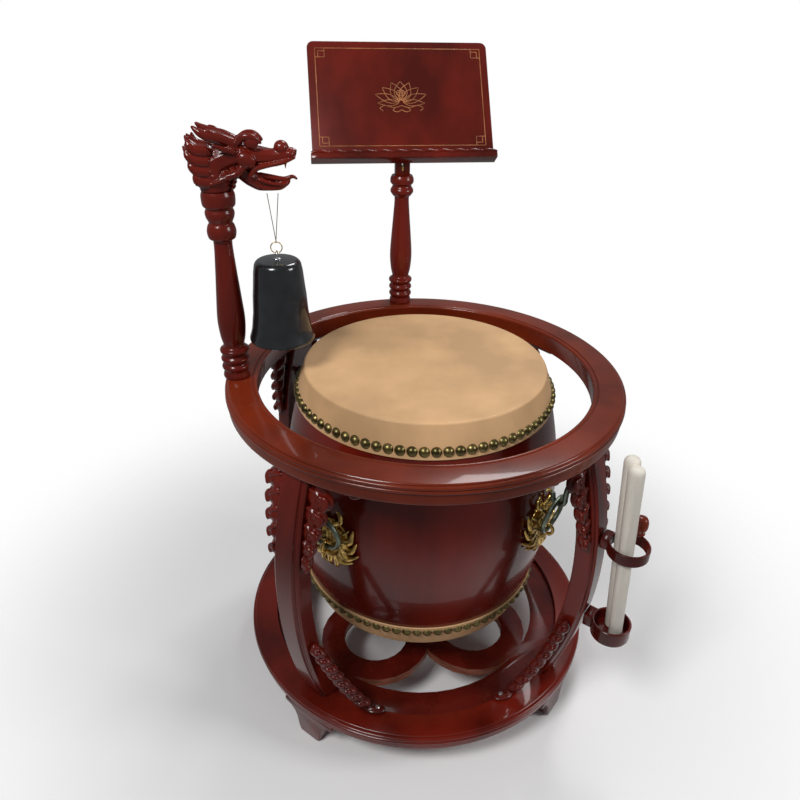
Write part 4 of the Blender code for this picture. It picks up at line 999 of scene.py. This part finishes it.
class TEMPLE_OT_sticks(Operator):
    """Build the stick holder, its knob and the two drumsticks"""
    bl_idname = "temple_drum.sticks"
    bl_label = "Drumsticks and holder"

    def execute(self, context):
        size = sizes()
        hold = size.holder_radius
        low, high = size.ring_top - 0.192, size.ring_top - 0.172
        band = [(0.0282, low + 0.001), (0.0292, low), (0.0308, low), (0.0320, low + 0.0015),
                (0.0320, high - 0.0015), (0.0308, high), (0.0292, high), (0.0282, high - 0.001)]
        loop = turned(band, 56, closed=True)
        bulge = hold - max(leg_outer(low), leg_outer(high)) - 0.0004
        deep = bulge - 0.0292
        merge(loop, block(0.026, deep, 0.020, (0, 0.0292 + deep / 2, (low + high) / 2), 0.0010))
        # The stick band takes the dark lacquer: painted shade under the ring
        piece("stick_band", loop, "stand", "lacquer_dark", ["stick_loop"],
              place=placed(hold, HOLDER_AZIMUTH, 0, HOLDER_AZIMUTH))

        rim = size.ring_top - 0.336
        low = rim - 0.030
        cup = [(0.0, low), (0.0255, low)] + arc(0.0265, low + 0.0050, 0.0050, -90, 0, 5)
        cup += [(0.0315, rim - 0.001)]
        cup += [(0.0305, rim), (0.0287, rim), (0.0277, rim - 0.001), (0.0277, low + 0.0095),
                (0.0262, low + 0.008)]
        cup += [(0.0, low + 0.008)]
        bowl = turned(cup, 56)
        bulge = hold - max(leg_outer(low), leg_outer(rim)) - 0.0004
        deep = bulge - 0.0292
        merge(bowl, block(0.026, deep, 0.023, (0, 0.0292 + deep / 2, (low + rim) / 2 + 0.0025), 0.0010))
        # The stick bowl takes the dark lacquer: painted shade under the ring
        piece("stick_bowl", bowl, "stand", "lacquer_dark", ["stick_cup"],
              place=placed(hold, HOLDER_AZIMUTH, 0, HOLDER_AZIMUTH))

        centre = polar(hold, 45.0, 0)
        way = Vector((math.sin(math.radians(130)), -math.cos(math.radians(130)), 0))
        spot = centre + way * 0.0301 + Vector((0, 0, size.ring_top - 0.1717))
        knob = eased([(0.0072, 0.0), (0.0095, 0.003), (0.0086, 0.007), (0.0112, 0.014), (0.0112, 0.024),
                      (0.0088, 0.031), (0.0040, 0.0338), (0.0, 0.034)])
        # The knob takes the warm lacquer: painted light, a lighter copy of the lacquer
        piece("lacquer_knob", turned([(0.0, 0.0)] + knob, 40), "stand", "lacquer_warm", ["holder_knob"],
              angle=50.0,
              place=Matrix.Translation(spot))

        lean_way = Vector((math.sin(math.radians(-100.5)), -math.cos(math.radians(-100.5)), 0))
        across = Vector((math.sin(math.radians(-10.5)), -math.cos(math.radians(-10.5)), 0))
        lean = math.radians(4.0)
        axis = (Vector((0, 0, 1)) * math.cos(lean) + lean_way * math.sin(lean)).normalized()
        turn = Vector((0, 0, 1)).rotation_difference(axis).to_matrix().to_4x4()
        foot = size.ring_top - 0.358 + 0.0105 * math.sin(lean) + GAP
        tall = 0.335
        for number, hand in ((1, 1.0), (2, -1.0)):
            profile = [(0.0, 0.0), (0.0080, 0.0), (0.0096, 0.0008), (0.0105, 0.003),
                       (0.0122, tall - 0.010)]
            profile += [(0.0118, tall - 0.0065), (0.0104, tall - 0.0030), (0.0080, tall - 0.0008),
                        (0.0050, tall), (0.0, tall)]
            spot = centre + Vector((0, 0, foot)) - lean_way * 0.0050 + across * (0.0128 * hand)
            piece("pale_stick_%d" % number, turned(profile, 40), "stick_%d" % number, "stick_wood",
                  ["drumstick_%d" % number], place=Matrix.Translation(spot) @ turn)
        return {"FINISHED"}


class TEMPLE_OT_stage(Operator):
    """Set the pale floor, the soft lights and the camera"""
    bl_idname = "temple_drum.stage"
    bl_label = "Stage"

    def execute(self, context):
        scene = context.scene
        bm = bmesh.new()
        bmesh.ops.create_circle(bm, cap_ends=True, segments=96, radius=1.8)
        mesh = bpy.data.meshes.new("floor")
        bm.to_mesh(mesh)
        bm.free()
        plain = bpy.data.materials.new("pale_floor")
        plain.use_nodes = True
        nodes = plain.node_tree.nodes
        links = plain.node_tree.links
        shader = nodes["Principled BSDF"]
        shader.inputs["Base Color"].default_value = (*scene.temple_drum_colours.floor, 1.0)
        shader.inputs["Roughness"].default_value = 0.8
        where = nodes.new("ShaderNodeTexCoord")
        far = nodes.new("ShaderNodeVectorMath")
        far.operation = "LENGTH"
        fade = nodes.new("ShaderNodeMapRange")
        fade.interpolation_type = "SMOOTHSTEP"
        fade.inputs["From Min"].default_value = 0.42
        fade.inputs["From Max"].default_value = 1.10
        clear = nodes.new("ShaderNodeBsdfTransparent")
        blend = nodes.new("ShaderNodeMixShader")
        links.new(where.outputs["Object"], far.inputs[0])
        links.new(far.outputs["Value"], fade.inputs["Value"])
        links.new(fade.outputs["Result"], blend.inputs["Fac"])
        links.new(shader.outputs["BSDF"], blend.inputs[1])
        links.new(clear.outputs["BSDF"], blend.inputs[2])
        links.new(blend.outputs["Shader"], nodes["Material Output"].inputs["Surface"])
        mesh.materials.append(plain)
        floor = bpy.data.objects.new("floor", mesh)
        floor.location = (0, 0, -0.0005)
        scene.collection.objects.link(floor)

        target = Vector((0, -0.04, 0.45))
        for name, spot, width, power in (("key", (-1.3, -1.5, 2.7), 0.8, 50.0),
                                         ("fill", (2.3, -1.1, 1.7), 0.9, 27.0),
                                         ("back", (0.9, 1.5, 3.0), 0.9, 30.0)):
            lamp = bpy.data.lights.new(name, "AREA")
            lamp.shape = "SQUARE"
            lamp.size = width
            lamp.energy = power
            obj = bpy.data.objects.new(name, lamp)
            obj.location = spot
            obj.rotation_euler = (target - Vector(spot)).to_track_quat("-Z", "Y").to_euler()
            scene.collection.objects.link(obj)

        world = bpy.data.worlds.new("studio")
        scene.world = world
        world.use_nodes = True
        nodes = world.node_tree.nodes
        links = world.node_tree.links
        path = nodes.new("ShaderNodeLightPath")
        seen = nodes.new("ShaderNodeMath")
        seen.operation = "MAXIMUM"
        shine = nodes.new("ShaderNodeMath")
        shine.operation = "MULTIPLY_ADD"
        shine.inputs[1].default_value = 0.12
        shine.use_clamp = True
        mix = nodes.new("ShaderNodeMix")
        mix.data_type = "RGBA"
        mix.inputs["A"].default_value = (0.12, 0.12, 0.125, 1.0)
        mix.inputs["B"].default_value = (1.0, 1.0, 1.0, 1.0)
        links.new(path.outputs["Is Camera Ray"], seen.inputs[0])
        links.new(path.outputs["Is Transmission Ray"], seen.inputs[1])
        links.new(path.outputs["Is Glossy Ray"], shine.inputs[0])
        links.new(seen.outputs["Value"], shine.inputs[2])
        links.new(shine.outputs["Value"], mix.inputs["Factor"])
        links.new(mix.outputs["Result"], nodes["Background"].inputs["Color"])

        camera = bpy.data.cameras.new("camera")
        camera.sensor_width = 36.0
        camera.lens = 31.73
        camera.clip_start = 0.05
        eye = bpy.data.objects.new("camera", camera)
        pitch, pan, roll = math.radians(29.679), math.radians(-2.199), math.radians(1.095)
        view = Vector((math.sin(pan) * math.cos(pitch), math.cos(pan) * math.cos(pitch),
                       -math.sin(pitch)))
        level = Vector((math.cos(pan), -math.sin(pan), 0))
        upright = level.cross(view)
        right = level * math.cos(roll) + upright * math.sin(roll)
        up = upright * math.cos(roll) - level * math.sin(roll)
        look = Matrix((right, up, -view)).transposed().to_4x4()
        eye.matrix_world = placed(1.0603, -10.5, 1.1551, -10.5) @ look
        scene.collection.objects.link(eye)
        scene.camera = eye
        scene.view_settings.view_transform = "Standard"
        return {"FINISHED"}


class TEMPLE_PT_panel(Panel):
    """Sizes, colours and buttons of the temple drum"""
    bl_label = "Temple drum"
    bl_idname = "TEMPLE_PT_panel"
    bl_space_type = "VIEW_3D"
    bl_region_type = "UI"
    bl_category = "Temple drum"

    def draw(self, context):
        layout = self.layout
        for settings in (context.scene.temple_drum_sizes, context.scene.temple_drum_colours):
            column = layout.column()
            for name in settings.__annotations__:
                column.prop(settings, name)
        for operator in OPERATORS:
            layout.operator(operator.bl_idname)


OPERATORS = (TEMPLE_OT_stage, TEMPLE_OT_finishes, TEMPLE_OT_bell, TEMPLE_OT_rings, TEMPLE_OT_legs,
             TEMPLE_OT_brackets, TEMPLE_OT_drum, TEMPLE_OT_masks, TEMPLE_OT_posts, TEMPLE_OT_dragon,
             TEMPLE_OT_desk, TEMPLE_OT_sticks)
CLASSES = (TempleDrumSizes, TempleDrumColours, *OPERATORS, TEMPLE_PT_panel)


def register():
    for cls in CLASSES:
        bpy.utils.register_class(cls)
    bpy.types.Scene.temple_drum_sizes = PointerProperty(type=TempleDrumSizes)
    bpy.types.Scene.temple_drum_colours = PointerProperty(type=TempleDrumColours)


def unregister():
    del bpy.types.Scene.temple_drum_colours
    del bpy.types.Scene.temple_drum_sizes
    for cls in reversed(CLASSES):
        bpy.utils.unregister_class(cls)


def main():
    register()
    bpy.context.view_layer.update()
    bpy.ops.temple_drum.stage()
    bpy.ops.temple_drum.finishes()
    bpy.ops.temple_drum.bell()
    bpy.ops.temple_drum.rings()
    bpy.ops.temple_drum.legs()
    bpy.ops.temple_drum.brackets()
    bpy.ops.temple_drum.drum()
    bpy.ops.temple_drum.masks()
    bpy.ops.temple_drum.posts()
    bpy.ops.temple_drum.dragon()
    bpy.ops.temple_drum.desk()
    bpy.ops.temple_drum.sticks()


if __name__ == "__main__":
    main()
